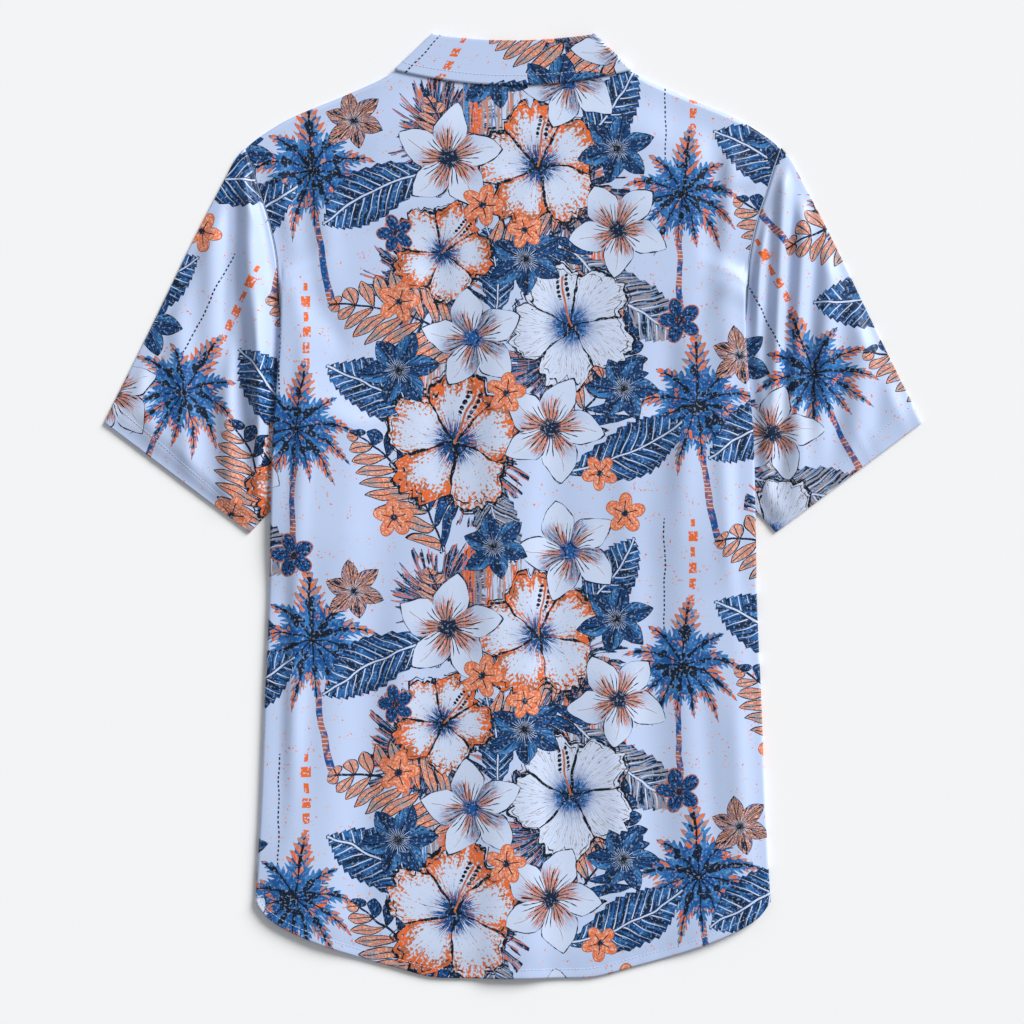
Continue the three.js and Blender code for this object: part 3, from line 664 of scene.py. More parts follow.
def make_mesh(
    name: str, points: np.ndarray, faces: np.ndarray, material: bpy.types.Material
) -> bpy.types.Object:
    """Returns a smooth object made from points in metres and faces of three or four corners."""
    mesh = bpy.data.meshes.new(name)
    mesh.from_pydata(points.reshape(-1, 3).tolist(), [], faces.tolist())
    mesh.polygons.foreach_set("use_smooth", np.ones(len(mesh.polygons), bool))
    mesh.materials.append(material)
    mesh.update()
    made = bpy.data.objects.new(name, mesh)
    bpy.context.scene.collection.objects.link(made)
    return made


def grid_faces(rows: int, columns: int, ring: bool = False) -> np.ndarray:
    """Returns the four-cornered faces of a grid of points, facing its right-hand normal."""
    index = np.arange(rows * columns).reshape(rows, columns)
    if ring:
        index = np.hstack([index, index[:, :1]])
    corners = [index[:-1, :-1], index[:-1, 1:], index[1:, 1:], index[1:, :-1]]
    return np.stack(corners, axis=-1).reshape(-1, 4)


def grid_normals(points: np.ndarray, ring: bool = False) -> np.ndarray:
    """Returns the unit normals of a grid of points."""
    if ring:
        along = np.roll(points, -1, axis=1) - np.roll(points, 1, axis=1)
    else:
        along = np.gradient(points, axis=1)
    normal = np.cross(along, np.gradient(points, axis=0))
    return normal / np.maximum(np.linalg.norm(normal, axis=-1, keepdims=True), 1e-9)


class Motif(Enum):
    """The kinds of plant in the print, from the lowest ink to the uppermost."""

    SHADE = "shade"
    BRUSH = "brush"
    PALM = "palm"
    LEAF = "leaf"
    FERN = "fern"
    HIBISCUS = "hibiscus"
    PLUMERIA = "plumeria"
    LILY = "lily"
    BLOSSOM = "blossom"


@dataclass(frozen=True)
class Stamp:
    """One motif in the print's repeat.

    Args:
        motif: What it is.
        across: Its centre's place in the repeat.
        up: Its centre's place in the repeat.
        size: The radius of the circle that holds it.
        turn: How far it is turned anticlockwise, in degrees.
        kind: Which way it is coloured, 0 or 1.
    """

    motif: Motif
    across: float
    up: float
    size: float
    turn: float
    kind: float = 0.0


@dataclass(frozen=True)
class Print:
    """A half-drop repeat of stamps, drawn in the flat cut.

    Args:
        width: How far the repeat goes across.
        height: How far it goes up.
        stamps: What it holds.
    """

    width: float
    height: float
    stamps: tuple[Stamp, ...]

    def coordinates(self, motif: Motif, flat: np.ndarray) -> tuple[np.ndarray, np.ndarray]:
        """Returns each place's coordinates in the nearest stamp of a motif, and its kind.

        The first two are 1 at the circle that holds the stamp. The third is how far the place is
        outside that circle, in the same unit, below 0 inside.
        """
        nearest = np.full(flat.shape[:-1], np.inf)
        local = np.zeros((*flat.shape[:-1], 3))
        kind = np.zeros(flat.shape[:-1])
        for stamp in (s for s in self.stamps if s.motif is motif):
            dx, dy = flat[..., 0] - stamp.across, flat[..., 1] - stamp.up
            column = np.round(dx / self.width)
            dx = dx - column * self.width
            dy = dy - (column % 2) * self.height / 2
            dy = dy - np.round(dy / self.height) * self.height
            outside = np.hypot(dx, dy) / stamp.size - 1
            turn = math.radians(stamp.turn)
            u = (dx * math.cos(turn) + dy * math.sin(turn)) / stamp.size
            v = (dy * math.cos(turn) - dx * math.sin(turn)) / stamp.size
            closer = outside < nearest
            nearest = np.where(closer, outside, nearest)
            local = np.where(closer[..., None], np.stack([u, v, outside], axis=-1), local)
            kind = np.where(closer, stamp.kind, kind)
        return local, kind


@dataclass(frozen=True)
class Cloth:
    """A piece of printed cloth: a thin wall about its middle surface.

    Args:
        name: The piece's name.
        material: The printed cloth.
        design: The print.
        offset: Where on the print the piece was cut, across and up.
    """

    name: str
    material: bpy.types.Material
    design: Print
    offset: tuple[float, float] = (0.0, 0.0)

    def build(
        self, points: np.ndarray, flat: np.ndarray, ring: bool = False
    ) -> bpy.types.Object:
        """Makes the piece from a grid of middle points and the flat cut of each.

        Returns:
            The finished object, with its flat cut as a UV map in metres and one attribute for each
            motif of the print.
        """
        rows, columns = points.shape[:2]
        made = make_mesh(
            self.name, to_frame(points), grid_faces(rows, columns, ring), self.material
        )
        mesh = made.data
        corners = np.zeros(len(mesh.loops), np.int32)
        mesh.loops.foreach_get("vertex_index", corners)
        cut = mesh.uv_layers.new(name="flat_cut")
        cut.data.foreach_set("uv", (flat.reshape(-1, 2) * MM)[corners].ravel())
        place = flat.reshape(-1, 2) + self.offset
        for motif in Motif:
            local, kind = self.design.coordinates(motif, place)
            stored = mesh.attributes.new(motif.value, "FLOAT_VECTOR", "POINT")
            stored.data.foreach_set("vector", local.astype(np.float32).ravel())
            stored = mesh.attributes.new(f"{motif.value}_kind", "FLOAT", "POINT")
            stored.data.foreach_set("value", kind.astype(np.float32).ravel())
        solid = made.modifiers.new("cloth thickness", "SOLIDIFY")
        solid.thickness = CLOTH_SHOWN * MM
        solid.offset = 0
        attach(made, "root")
        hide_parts(self.name)
        return made


@dataclass(frozen=True)
class Thread:
    """Short stitches of sewing thread along a line.

    Args:
        material: The thread.
        stitch: How much of each step shows as thread.
        step: From one stitch to the next.
        thick: The thread's width.
    """

    material: bpy.types.Material
    stitch: float = 2.3
    step: float = 3.1
    thick: float = 0.42

    def sew(self, name: str, line: np.ndarray, up: np.ndarray) -> bpy.types.Object:
        """Makes stitches along a line on a surface.

        Each stitch is a tube of six sides that is thin at its ends, bent a little so that its ends
        sink into the cloth.

        Args:
            name: The name of the stitches.
            line: The line's points.
            up: The surface's normal at each point.
        """
        reach = np.concatenate([[0], np.cumsum(np.linalg.norm(np.diff(line, axis=0), axis=1))])
        starts = np.arange(self.step / 2, reach[-1] - self.step / 2, self.step)

        def at(values: np.ndarray, where: np.ndarray) -> np.ndarray:
            """Returns the values at these reaches along the line."""
            return np.stack([np.interp(where, reach, values[:, k]) for k in range(3)], axis=-1)

        centre = at(line, starts)
        lead = at(line, starts + 0.5) - at(line, starts - 0.5)
        lead = lead / np.linalg.norm(lead, axis=-1, keepdims=True)
        above = at(up, starts)
        beside = np.cross(above, lead)
        beside = beside / np.linalg.norm(beside, axis=-1, keepdims=True)
        shares = np.linspace(-1, 1, 7)
        turn = np.arange(6) * math.tau / 6
        along, around = np.meshgrid(shares, turn, indexing="ij")
        radius = self.thick / 2 * np.sqrt(np.maximum(0.06, 1 - along**4))
        lifted = self.thick * (0.32 - 0.55 * along**4) + radius * np.sin(around)
        points = (
            centre[:, None, None]
            + lead[:, None, None] * (along * self.stitch / 2)[..., None]
            + beside[:, None, None] * (radius * np.cos(around))[..., None]
            + above[:, None, None] * lifted[..., None]
        )
        one = grid_faces(shares.size, turn.size, ring=True)
        ends = [turn.size * (shares.size - 1) + np.arange(6), np.arange(6)[::-1]]
        halves = ((0, 1, 2, 3), (0, 3, 4, 5))
        caps = np.stack([cap[list(corners)] for cap in ends for corners in halves])
        one = np.vstack([one, caps])
        offsets = np.arange(len(starts))[:, None, None] * shares.size * turn.size
        faces = (one[None] + offsets).reshape(-1, 4)
        made = make_mesh(name, to_frame(points.reshape(-1, 3)), faces, self.material)
        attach(made, "root")
        return made


@dataclass(frozen=True)
class Roll:
    """A narrow roll of cloth, such as the seam allowance in a seam's ditch."""

    material: bpy.types.Material
    thick: float = 0.9

    def lay(self, name: str, line: np.ndarray) -> bpy.types.Object:
        """Makes the roll as a tube of eight sides along a line of points."""
        lead = np.gradient(line, axis=0)
        lead = lead / np.linalg.norm(lead, axis=-1, keepdims=True)
        beside = np.cross(lead, (0, 0, 1.0))
        beside = beside / np.maximum(np.linalg.norm(beside, axis=-1, keepdims=True), 1e-9)
        above = np.cross(beside, lead)
        turn = np.arange(8) * math.tau / 8
        ring = np.cos(turn)[:, None] * beside[:, None] + np.sin(turn)[:, None] * above[:, None]
        points = line[:, None] + ring * self.thick / 2
        faces = grid_faces(len(line), turn.size, ring=True)
        made = make_mesh(name, to_frame(points), faces, self.material)
        made.modifiers.new("roll wall", "SOLIDIFY").thickness = 0.2 * MM
        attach(made, "root")
        return made


def fill_inputs(tree: bpy.types.NodeTree, node: bpy.types.Node, inputs: dict) -> None:
    """Fills a node's inputs, by name or number, each with a constant, a socket or a Number."""
    for name, value in inputs.items():
        value = value.socket if isinstance(value, Number) else value
        if isinstance(value, bpy.types.NodeSocket):
            tree.links.new(value, node.inputs[name])
        else:
            node.inputs[name].default_value = value


def add_node(
    tree: bpy.types.NodeTree, kind: str, settings: dict | None = None, inputs: dict | None = None
) -> bpy.types.Node:
    """Adds a node, sets its options and fills its inputs.

    Args:
        tree: The material's nodes.
        kind: The node's type.
        settings: Its options by name.
        inputs: Its inputs by name or number: a constant, a socket or a Number.
    """
    node = tree.nodes.new(kind)
    for name, value in (settings or {}).items():
        setattr(node, name, value)
    fill_inputs(tree, node, inputs or {})
    return node


def mix_colours(
    tree: bpy.types.NodeTree,
    share: "Number | bpy.types.NodeSocket | float",
    first: str | bpy.types.NodeSocket,
    second: str | bpy.types.NodeSocket,
    blend: str = "MIX",
) -> bpy.types.NodeSocket:
    """Returns a mixture of two colours, each a hex colour or a socket."""
    first, second = (linear(c) if isinstance(c, str) else c for c in (first, second))
    settings = {"data_type": "RGBA", "blend_type": blend}
    node = add_node(tree, "ShaderNodeMix", settings, {"Factor": share, 6: first, 7: second})
    return node.outputs[2]


def start_material(name: str) -> tuple[bpy.types.Material, bpy.types.NodeTree, bpy.types.Node]:
    """Returns a new material, its nodes and its shader."""
    made = bpy.data.materials.new(name)
    made.use_nodes = True
    return made, made.node_tree, made.node_tree.nodes["Principled BSDF"]


def add_bump(
    tree: bpy.types.NodeTree,
    height: "Number | bpy.types.NodeSocket",
    distance: float,
    strength: float,
) -> bpy.types.NodeSocket:
    """Returns the normal of a fine relief whose full height is a distance in metres."""
    inputs = {"Height": height, "Distance": distance, "Strength": strength}
    return add_node(tree, "ShaderNodeBump", None, inputs).outputs[0]


def object_texture(
    tree: bpy.types.NodeTree, kind: str, settings: dict | None, inputs: dict
) -> bpy.types.NodeSocket:
    """Returns the strength of a texture that lies in the object's own space."""
    place = add_node(tree, "ShaderNodeTexCoord")
    inputs = {"Vector": place.outputs["Object"], **inputs}
    return add_node(tree, kind, settings, inputs).outputs["Fac"]


@dataclass(frozen=True)
class Number:
    """A number that a material's nodes work out, so that a formula reads as one."""

    tree: bpy.types.NodeTree
    socket: bpy.types.NodeSocket

    def then(self, operation: str, *others: "Number | float") -> "Number":
        """Returns the result of a Math node on this number and the others."""
        inputs = dict(enumerate((self, *others)))
        node = add_node(self.tree, "ShaderNodeMath", {"operation": operation}, inputs)
        return Number(self.tree, node.outputs[0])

    def __add__(self, other: "Number | float") -> "Number":
        """Returns the sum."""
        return self.then("ADD", other)

    def __sub__(self, other: "Number | float") -> "Number":
        """Returns the difference."""
        return self.then("SUBTRACT", other)

    def __mul__(self, other: "Number | float") -> "Number":
        """Returns the product."""
        return self.then("MULTIPLY", other)

    def __truediv__(self, other: "Number | float") -> "Number":
        """Returns the quotient."""
        return self.then("DIVIDE", other)

    def __pow__(self, other: "Number | float") -> "Number":
        """Returns the power."""
        return self.then("POWER", other)

    def __and__(self, other: "Number") -> "Number":
        """Returns where both masks are, as their product."""
        return self.then("MULTIPLY", other)

    def __or__(self, other: "Number") -> "Number":
        """Returns where either mask is, as the greater of the two."""
        return self.then("MAXIMUM", other)

    def size(self) -> "Number":
        """Returns the number without its sign."""
        return self.then("ABSOLUTE")

    def below(self, limit: "Number | float") -> "Number":
        """Returns 1 where the number is below a limit, and 0 elsewhere."""
        return self.then("LESS_THAN", limit)

    def above(self, limit: "Number | float") -> "Number":
        """Returns 1 where the number is above a limit, and 0 elsewhere."""
        return self.then("GREATER_THAN", limit)

    def ramp(self, low: float, high: float, start: float = 0.0, end: float = 1.0) -> "Number":
        """Returns start below low, end above high, and a smooth step between them."""
        inputs = {0: self, 1: low, 2: high, 3: start, 4: end}
        node = add_node(
            self.tree, "ShaderNodeMapRange", {"interpolation_type": "SMOOTHSTEP"}, inputs
        )
        return Number(self.tree, node.outputs[0])


@dataclass(frozen=True)
class Inks:
    """The print's inks, as seen on the cloth."""

    ground: str = "#bfd0f1"
    pale: str = "#ccd9f2"
    royal: str = "#0f5296"
    steel: str = "#3d7fbe"
    navy: str = "#061f3b"
    line: str = "#050f1f"
    orange: str = "#e46b33"
    rust: str = "#b8643f"
    taupe: str = "#9c9090"
    peach: str = "#e9b79b"


@dataclass
class Canvas:
    """The printed colour while it is being painted, and the marks that all inks share.

    Args:
        tree: The cloth's nodes.
        colour: The colour so far.
        x: The flat cut's place across, in metres.
        y: The flat cut's place up, in metres.
    """

    tree: bpy.types.NodeTree
    colour: bpy.types.NodeSocket
    x: Number
    y: Number
    sponge: Number = field(init=False)
    blotch: Number = field(init=False)
    stroke: Number = field(init=False)
    sway: Number = field(init=False)
    lean: Number = field(init=False)

    def noise(
        self, x: Number, y: Number, seed: Number | float, scale: float, detail: float
    ) -> Number:
        """Returns a flat noise from 0 to 1 at a place. Another seed gives another noise."""
        place = add_node(self.tree, "ShaderNodeCombineXYZ", None, {0: x + seed, 1: y})
        inputs = {"Vector": place.outputs[0], "Scale": scale, "Detail": detail}
        node = add_node(self.tree, "ShaderNodeTexNoise", {"noise_dimensions": "2D"}, inputs)
        return Number(self.tree, node.outputs["Fac"])

    def __post_init__(self) -> None:
        """Makes the marks that the inks share: sponge grain, dry brush strokes, a shaky hand."""
        self.sponge = self.noise(self.x, self.y, 0.0, 420, 2)
        self.blotch = self.noise(self.x, self.y, 3.0, 90, 2)
        self.stroke = self.noise(self.x, self.y * 0.07, 5.0, 620, 1)
        self.sway = self.noise(self.x, self.y, 7.0, 38, 1) - 0.5
        self.lean = self.noise(self.x, self.y, 11.0, 38, 1) - 0.5

    def paint(self, mask: Number, ink: str) -> None:
        """Lays an ink where the mask is 1."""
        self.colour = mix_colours(self.tree, mask, self.colour, ink)

    def blend(self, mask: Number, share: Number, first: str, second: str) -> None:
        """Lays a mixture of two inks where the mask is 1."""
        both = mix_colours(self.tree, share, first, second)
        self.colour = mix_colours(self.tree, mask, self.colour, both)

    def stamp(self, motif: Motif) -> tuple[Number, ...]:
        """Returns a motif's own coordinates, and how far a place is outside its circle."""
        read = add_node(self.tree, "ShaderNodeAttribute", {"attribute_name": motif.value})
        parts = add_node(self.tree, "ShaderNodeSeparateXYZ", None, {0: read.outputs["Vector"]})
        return tuple(Number(self.tree, parts.outputs[k]) for k in range(3))

    def local(self, motif: Motif, shake: float) -> tuple[Number, Number, Number, Number]:
        """Returns a motif's own coordinates, drawn with a shaky hand, its mask and its kind."""
        u, v, outside = self.stamp(motif)
        settings = {"attribute_name": f"{motif.value}_kind"}
        read = add_node(self.tree, "ShaderNodeAttribute", settings)
        kind = Number(self.tree, read.outputs["Fac"]).above(0.5)
        return u + self.sway * shake, v + self.lean * shake, outside.below(0), kind


@dataclass(frozen=True)
class Petals:
    """Coordinates in the petal that a place belongs to.

    Args:
        along: How far out along the petal's middle.
        aside: How far beside it.
        radius: How far from the flower's centre.
        near: How far round from the petal's middle, from -0.5 to 0.5.
        chance: A number from -1 to 1 that is the petal's own.
    """

    along: Number
    aside: Number
    radius: Number
    near: Number
    chance: Number

    @staticmethod
    def of(u: Number, v: Number, count: int, twist: float = 0.0, droop: float = 0.0) -> "Petals":
        """Divides the turn round the centre into petals, curved by a twist or drooping."""
        radius = (u * u + v * v).then("SQRT")
        turn = v.then("ARCTAN2", u) * (count / math.tau) + radius * twist + u * droop
        petal = turn.then("ROUND")
        near = turn - petal
        angle = near * (math.tau / count)
        chance = (petal.then("FLOORED_MODULO", float(count)) * 2.4 + 0.7).then("SINE")
        return Petals(
            radius * angle.then("COSINE"), radius * angle.then("SINE"), radius, near, chance
        )

    def oval(self, centre: float, length: float, width: float) -> Number:
        """Returns roughly how far a place is outside an oval petal, below 0 inside."""
        reach = ((self.along - centre) / length) ** 2.0 + (self.aside / width) ** 2.0
        return (reach.then("SQRT") - 1.0) * min(length, width)


def paint_shade(canvas: Canvas) -> None:
    """Paints the dark ragged undergrowth that the flowers stand on."""
    u, v, outside = canvas.stamp(Motif.SHADE)
    blade = Petals.of(u, v, 17, 0.8)
    tuft = canvas.noise(blade.near * 2.0, outside * 0.7, blade.chance * 3.0, 2.4, 1)
    rough = outside + blade.near.size() * 0.5 + (tuft - 0.5) * 0.9 + canvas.sway * 0.8
    fill = rough.below(-0.13) & outside.below(-0.03)
    tone = canvas.noise(blade.near * 3.0, outside * 0.6, blade.chance * 7.0, 3.0, 1)
    canvas.blend(fill, tone.ramp(0.46, 0.6), Inks.navy, Inks.royal)
    canvas.blend(fill & tone.above(0.54), canvas.stroke.ramp(0.4, 0.6), Inks.steel, Inks.taupe)
    canvas.paint(fill & tone.above(0.61) & canvas.sponge.above(0.45), Inks.orange)


def paint_brush(canvas: Canvas) -> None:
    """Paints upright dry-brushed strips, and of the second kind broken bars and a dashed line."""
    u, v, mask, kind = canvas.local(Motif.BRUSH, 0.05)
    ragged = canvas.stroke * 0.5
    strip = (u.size() + ragged * 0.3).below(0.5) & (v.size() + ragged * 1.3).below(1.05)
    wet = canvas.noise(canvas.x, canvas.y * 0.02, 17.0, 95, 1)
    dry = canvas.stroke.above(0.42)
    plain = strip & mask & dry & (kind * -1.0 + 1.0)
    canvas.blend(plain & wet.above(0.44), wet.ramp(0.46, 0.6), Inks.taupe, Inks.orange)
    canvas.blend(plain & wet.below(0.4), wet.ramp(0.25, 0.38), Inks.steel, Inks.taupe)
    step = (v * 5.0).then("FLOOR")
    wide = (step * 2.7).then("SINE") * 0.018 + 0.045
    bars = (u - 0.2).size().below(wide) & (v * 5.0).then("FRACT").below(0.66)
    dash = (u + 0.16).size().below(0.01) & (v * 17.0).then("FRACT").below(0.6)
    inside = mask & kind & v.size().below(0.9)
    worn = canvas.sponge + (v + 0.3) * 0.12
    canvas.paint(inside & bars & worn.above(0.47), Inks.orange)
    canvas.paint(inside & dash, Inks.navy)


def paint_palm(canvas: Canvas) -> None:
    """Paints palm crowns of drooping feathered fronds on a thin trunk."""
    u, v, mask, _ = canvas.local(Motif.PALM, 0.05)
    lean = u - (v - 0.35) ** 2.0 * 0.07
    trunk = lean.size().below(v * -0.012 + 0.024) & v.below(0.3) & v.above(-0.94)
    ring = (v * 26.0).then("FRACT").above(0.2) | canvas.blotch.above(0.5)
    canvas.blend(mask & trunk & ring, canvas.blotch.ramp(0.4, 0.6), Inks.rust, Inks.royal)
    crown = Petals.of(u, v - 0.3, 12, 0.0, 1.5)
    reach = crown.along / (crown.chance * 0.1 + 0.6)
    strand = (reach * 44.0 - crown.aside.size() * 120.0 + crown.chance * 9.0).then("SINE")
    width = (reach * -1.0 + 1.03) * reach.ramp(-0.1, 0.4) * 0.2
    spread = crown.aside.size() / width.then("MAXIMUM", 0.001)
    torn = canvas.blotch * 0.5 + strand * 0.3
    feather = spread.below(torn + 0.66) & reach.below(1.0)
    canvas.blend(mask & feather, canvas.blotch.ramp(0.36, 0.6), Inks.steel, Inks.royal)
    dark = (spread * 0.6 + canvas.blotch).below(0.57)
    canvas.blend(mask & feather & dark, canvas.blotch.ramp(0.42, 0.58), Inks.navy, Inks.royal)
    warm = (reach * 0.5 + canvas.blotch + crown.chance * 0.1).above(0.86) & strand.above(-0.5)
    canvas.blend(mask & feather & warm, canvas.stroke.ramp(0.42, 0.56), Inks.taupe, Inks.orange)
    canvas.paint(mask & crown.aside.size().below(0.007) & reach.below(0.85), Inks.line)


def paint_leaf(canvas: Canvas) -> None:
    """Paints broad notched leaves with pale veins."""
    u, v, mask, kind = canvas.local(Motif.LEAF, 0.1)
    v = v - u * u * 0.12
    side = v.size()
    vein = u - side * 0.9
    slit = (vein * 6.5).then("FRACT")
    width = (u * u * -1.0 + 1.0) * (u * 0.16 + 0.4) - slit * 0.045
    fill = side.below(width) & mask
    streak = canvas.noise(vein * 3.0, side * 0.5, 2.0, 7.0, 2)
    canvas.blend(fill, streak.ramp(0.44, 0.64), Inks.navy, Inks.royal)
    gloss = (side - width * 0.5).size().ramp(0.0, 0.12, 0.5, 0.0)
    canvas.paint((fill & streak.above(0.5)) * gloss, Inks.steel)
    canvas.blend(fill & kind & streak.above(0.47), streak.ramp(0.47, 0.6), Inks.steel, Inks.taupe)
    thin = side.ramp(0.0, 0.35, 0.075, 0.02)
    line = (slit - 0.5).size().below(thin) & side.above(0.03)
    canvas.paint(fill & (line | side.below(0.012)) & width.above(side + 0.02), Inks.pale)


def paint_fern(canvas: Canvas) -> None:
    """Paints bent stems with paired leaflets, warm on one side and blue on the other."""
    u, v, mask, kind = canvas.local(Motif.FERN, 0.08)
    v = v - (u * u * 0.24 - 0.08)
    side = v.size()
    reach = (u * u * -1.0 + 1.05) * 0.56
    length = side / reach.then("MAXIMUM", 0.02)
    place = (u - side * 0.75) * 4.6
    cell = place.then("ROUND")
    off = (place - cell).size()
    width = length * (length * -1.0 + 1.0) * 1.8
    leaf = off.below(width) & mask & side.above(0.012)
    streak = canvas.noise(off * 2.0, length * 0.6, cell, 6.0, 1)
    canvas.blend(leaf, streak.ramp(0.38, 0.62), Inks.royal, Inks.navy)
    warm = leaf & (v.above(0) | kind)
    canvas.blend(warm, streak.ramp(0.4, 0.56), Inks.taupe, Inks.steel)
    canvas.blend(warm & streak.above(0.47), canvas.sponge.ramp(0.45, 0.6), Inks.orange, Inks.peach)
    edge = (off - width).size().below(0.04) & mask & length.below(1.0)
    canvas.paint(edge, Inks.line)
    rib = off.below(0.035) & length.below(0.9) & leaf
    canvas.paint(rib, Inks.line)
    stem = (side.below(0.014) & u.size().below(0.98)) & mask
    canvas.paint(stem, Inks.navy)


def paint_hibiscus(canvas: Canvas) -> None:
    """Paints large flowers in pen outline, dabbed with orange or hatched with grey."""
    u, v, mask, kind = canvas.local(Motif.HIBISCUS, 0.12)
    petals = Petals.of(u, v, 5, 0.12)
    fray = canvas.noise(petals.near * 9.0, petals.radius, petals.chance * 5.0, 3.2, 2)
    notch = (petals.aside.size() * -1.3 + 0.11).then("MAXIMUM", 0.0) * petals.along.above(0.6)
    ruffle = canvas.noise(petals.near * 2.0, petals.radius * 0.4, petals.chance * 5.0, 3.0, 1)
    ruffle = (ruffle - 0.5) * 0.22
    edge = petals.oval(0.5, 0.46, 0.42) + notch + ruffle * petals.along.ramp(0.4, 0.7)
    parting = petals.radius * (petals.near.size() * -1.0 + 0.5) * (math.tau / 5)
    fill = edge.below(0) & mask
    dabbed = kind * -1.0 + 1.0
    canvas.paint(fill, Inks.pale)
    hollow = petals.radius.ramp(0.1, 0.5, 0.75, 0.0) * fray.ramp(0.3, 0.65)
    canvas.paint(fill * hollow, Inks.steel)
    rim = edge.ramp(-0.34, -0.01) * petals.chance.ramp(-1.0, 0.1, 0.45, 1.0)
    dab = canvas.sponge * 0.8 + fray * 0.5 + rim * 0.42
    canvas.blend((fill & dabbed) * dab.ramp(0.8, 0.88), fray, Inks.peach, Inks.taupe)
    warm = canvas.blotch.ramp(0.4, 0.6)
    canvas.blend((fill & dabbed) * dab.ramp(0.86, 0.95), warm, Inks.orange, Inks.rust)
    hatch = ((petals.near * 21.0 + fray * 2.2).then("FRACT") - 0.5).size().below(0.07)
    canvas.paint(fill & kind & hatch & (petals.radius + fray * 0.7).above(0.6), Inks.taupe)
    flush = (petals.radius + fray * 0.5).ramp(0.42, 0.66, 0.85, 0.0)
    canvas.blend((fill & kind) * flush, fray.ramp(0.4, 0.6), Inks.steel, Inks.peach)
    heart = (petals.radius - fray * 0.55).below(-0.03)
    canvas.blend(fill & heart, fray.ramp(0.4, 0.6), Inks.navy, Inks.royal)
    nib = canvas.blotch.ramp(0.3, 0.7, 0.006, 0.024)
    pen = edge.size().below(nib) | (parting.below(nib) & edge.below(0))
    second = (edge - 0.045 + canvas.sway * 0.12).size().below(0.009) & canvas.blotch.above(0.42)
    inner = (edge + 0.06 + canvas.lean * 0.12).size().below(0.007) & canvas.blotch.above(0.46)
    canvas.paint(mask & (pen | second | (inner & fill)), Inks.line)
    angle = math.radians(54)
    out = u * math.cos(angle) + v * math.sin(angle)
    off = v * math.cos(angle) - u * math.sin(angle) + out * out * 0.12
    stem = off.size().below(0.014) & out.above(0) & out.below(0.7)
    bead = ((out * 15.0).then("FRACT") - 0.5) ** 2.0 + (off.size() * 15.0 - 0.9) ** 2.0
    beads = bead.below(0.16) & out.above(0.38) & out.below(0.74)
    canvas.paint(mask & stem, Inks.rust)
    canvas.paint(mask & beads, Inks.line)


def paint_plumeria(canvas: Canvas) -> None:
    """Paints pale flowers of separate pointed petals with a dark and orange heart."""
    u, v, mask, kind = canvas.local(Motif.PLUMERIA, 0.12)
    petals = Petals.of(u, v, 5, 0.22)
    fray = canvas.noise(petals.near * 11.0, petals.radius, petals.chance * 5.0, 3.4, 2)
    tip = (petals.along - 0.55).then("MAXIMUM", 0.0) * petals.aside.size() * 1.1
    edge = petals.oval(0.54, 0.44, 0.31) + tip + petals.chance * 0.02
    fill = edge.below(0) & mask
    canvas.paint(fill, Inks.pale)
    crease = petals.aside.ramp(-0.02, 0.2, 0.0, 0.42) * petals.along.ramp(0.2, 0.8, 1.0, 0.1)
    canvas.paint(fill * crease, Inks.steel)
    flare = (petals.radius - fray * 0.8).below(0.06) & petals.aside.above(-0.07)
    canvas.blend(fill & flare, canvas.sponge.ramp(0.42, 0.56), Inks.orange, Inks.taupe)
    shade = petals.aside.above(0.05) & (petals.along + fray).below(1.05)
    canvas.blend(fill & shade & kind & fray.above(0.42), fray, Inks.steel, Inks.taupe)
    spike = ((petals.near * 6.0).then("FRACT") - 0.5).size().below(0.13)
    canvas.paint(mask & spike & (petals.radius - fray * 0.45).below(0.2), Inks.line)
    canvas.blend(mask & (petals.radius - fray * 0.35).below(0.0), kind, Inks.navy, Inks.royal)
    vein = petals.aside.size().below(0.006) & petals.along.below(0.8) & fray.above(0.4)
    canvas.paint(fill & vein, Inks.taupe)
    canvas.paint(mask & edge.size().below(canvas.blotch.ramp(0.3, 0.7, 0.003, 0.015)), Inks.navy)


def paint_lily(canvas: Canvas) -> None:
    """Paints dark blue stars of six pointed petals."""
    u, v, mask, kind = canvas.local(Motif.LILY, 0.1)
    petals = Petals.of(u, v, 6, 0.16)
    length = petals.chance * 0.08 + 0.88
    share = petals.along / length
    width = share * (share * -1.0 + 1.0) * 0.95
    off = petals.aside.size()
    fill = off.below(width) & mask
    fray = canvas.noise(petals.near * 8.0, petals.radius * 0.8, petals.chance * 5.0, 3.6, 1)
    canvas.blend(fill, fray.ramp(0.42, 0.66), Inks.navy, Inks.royal)
    gloss = petals.aside.ramp(0.0, 0.16) * share.ramp(0.1, 0.6)
    canvas.paint((fill & fray.above(0.42)) * gloss, Inks.steel)
    warm = fill & kind & fray.above(0.5)
    canvas.blend(warm, canvas.sponge.ramp(0.4, 0.6), Inks.rust, Inks.peach)
    canvas.paint(fill & off.below(0.012) & share.below(0.85), Inks.line)
    canvas.paint(mask & (off - width).size().below(0.009) & share.below(1.0), Inks.line)
    ray = ((petals.near * 5.0).then("FRACT") - 0.5).size().below(0.12)
    canvas.paint(mask & ray & (petals.radius - fray * 0.4).below(0.06), Inks.pale)
    canvas.paint(mask & (petals.radius - fray * 0.3).below(-0.05), Inks.line)


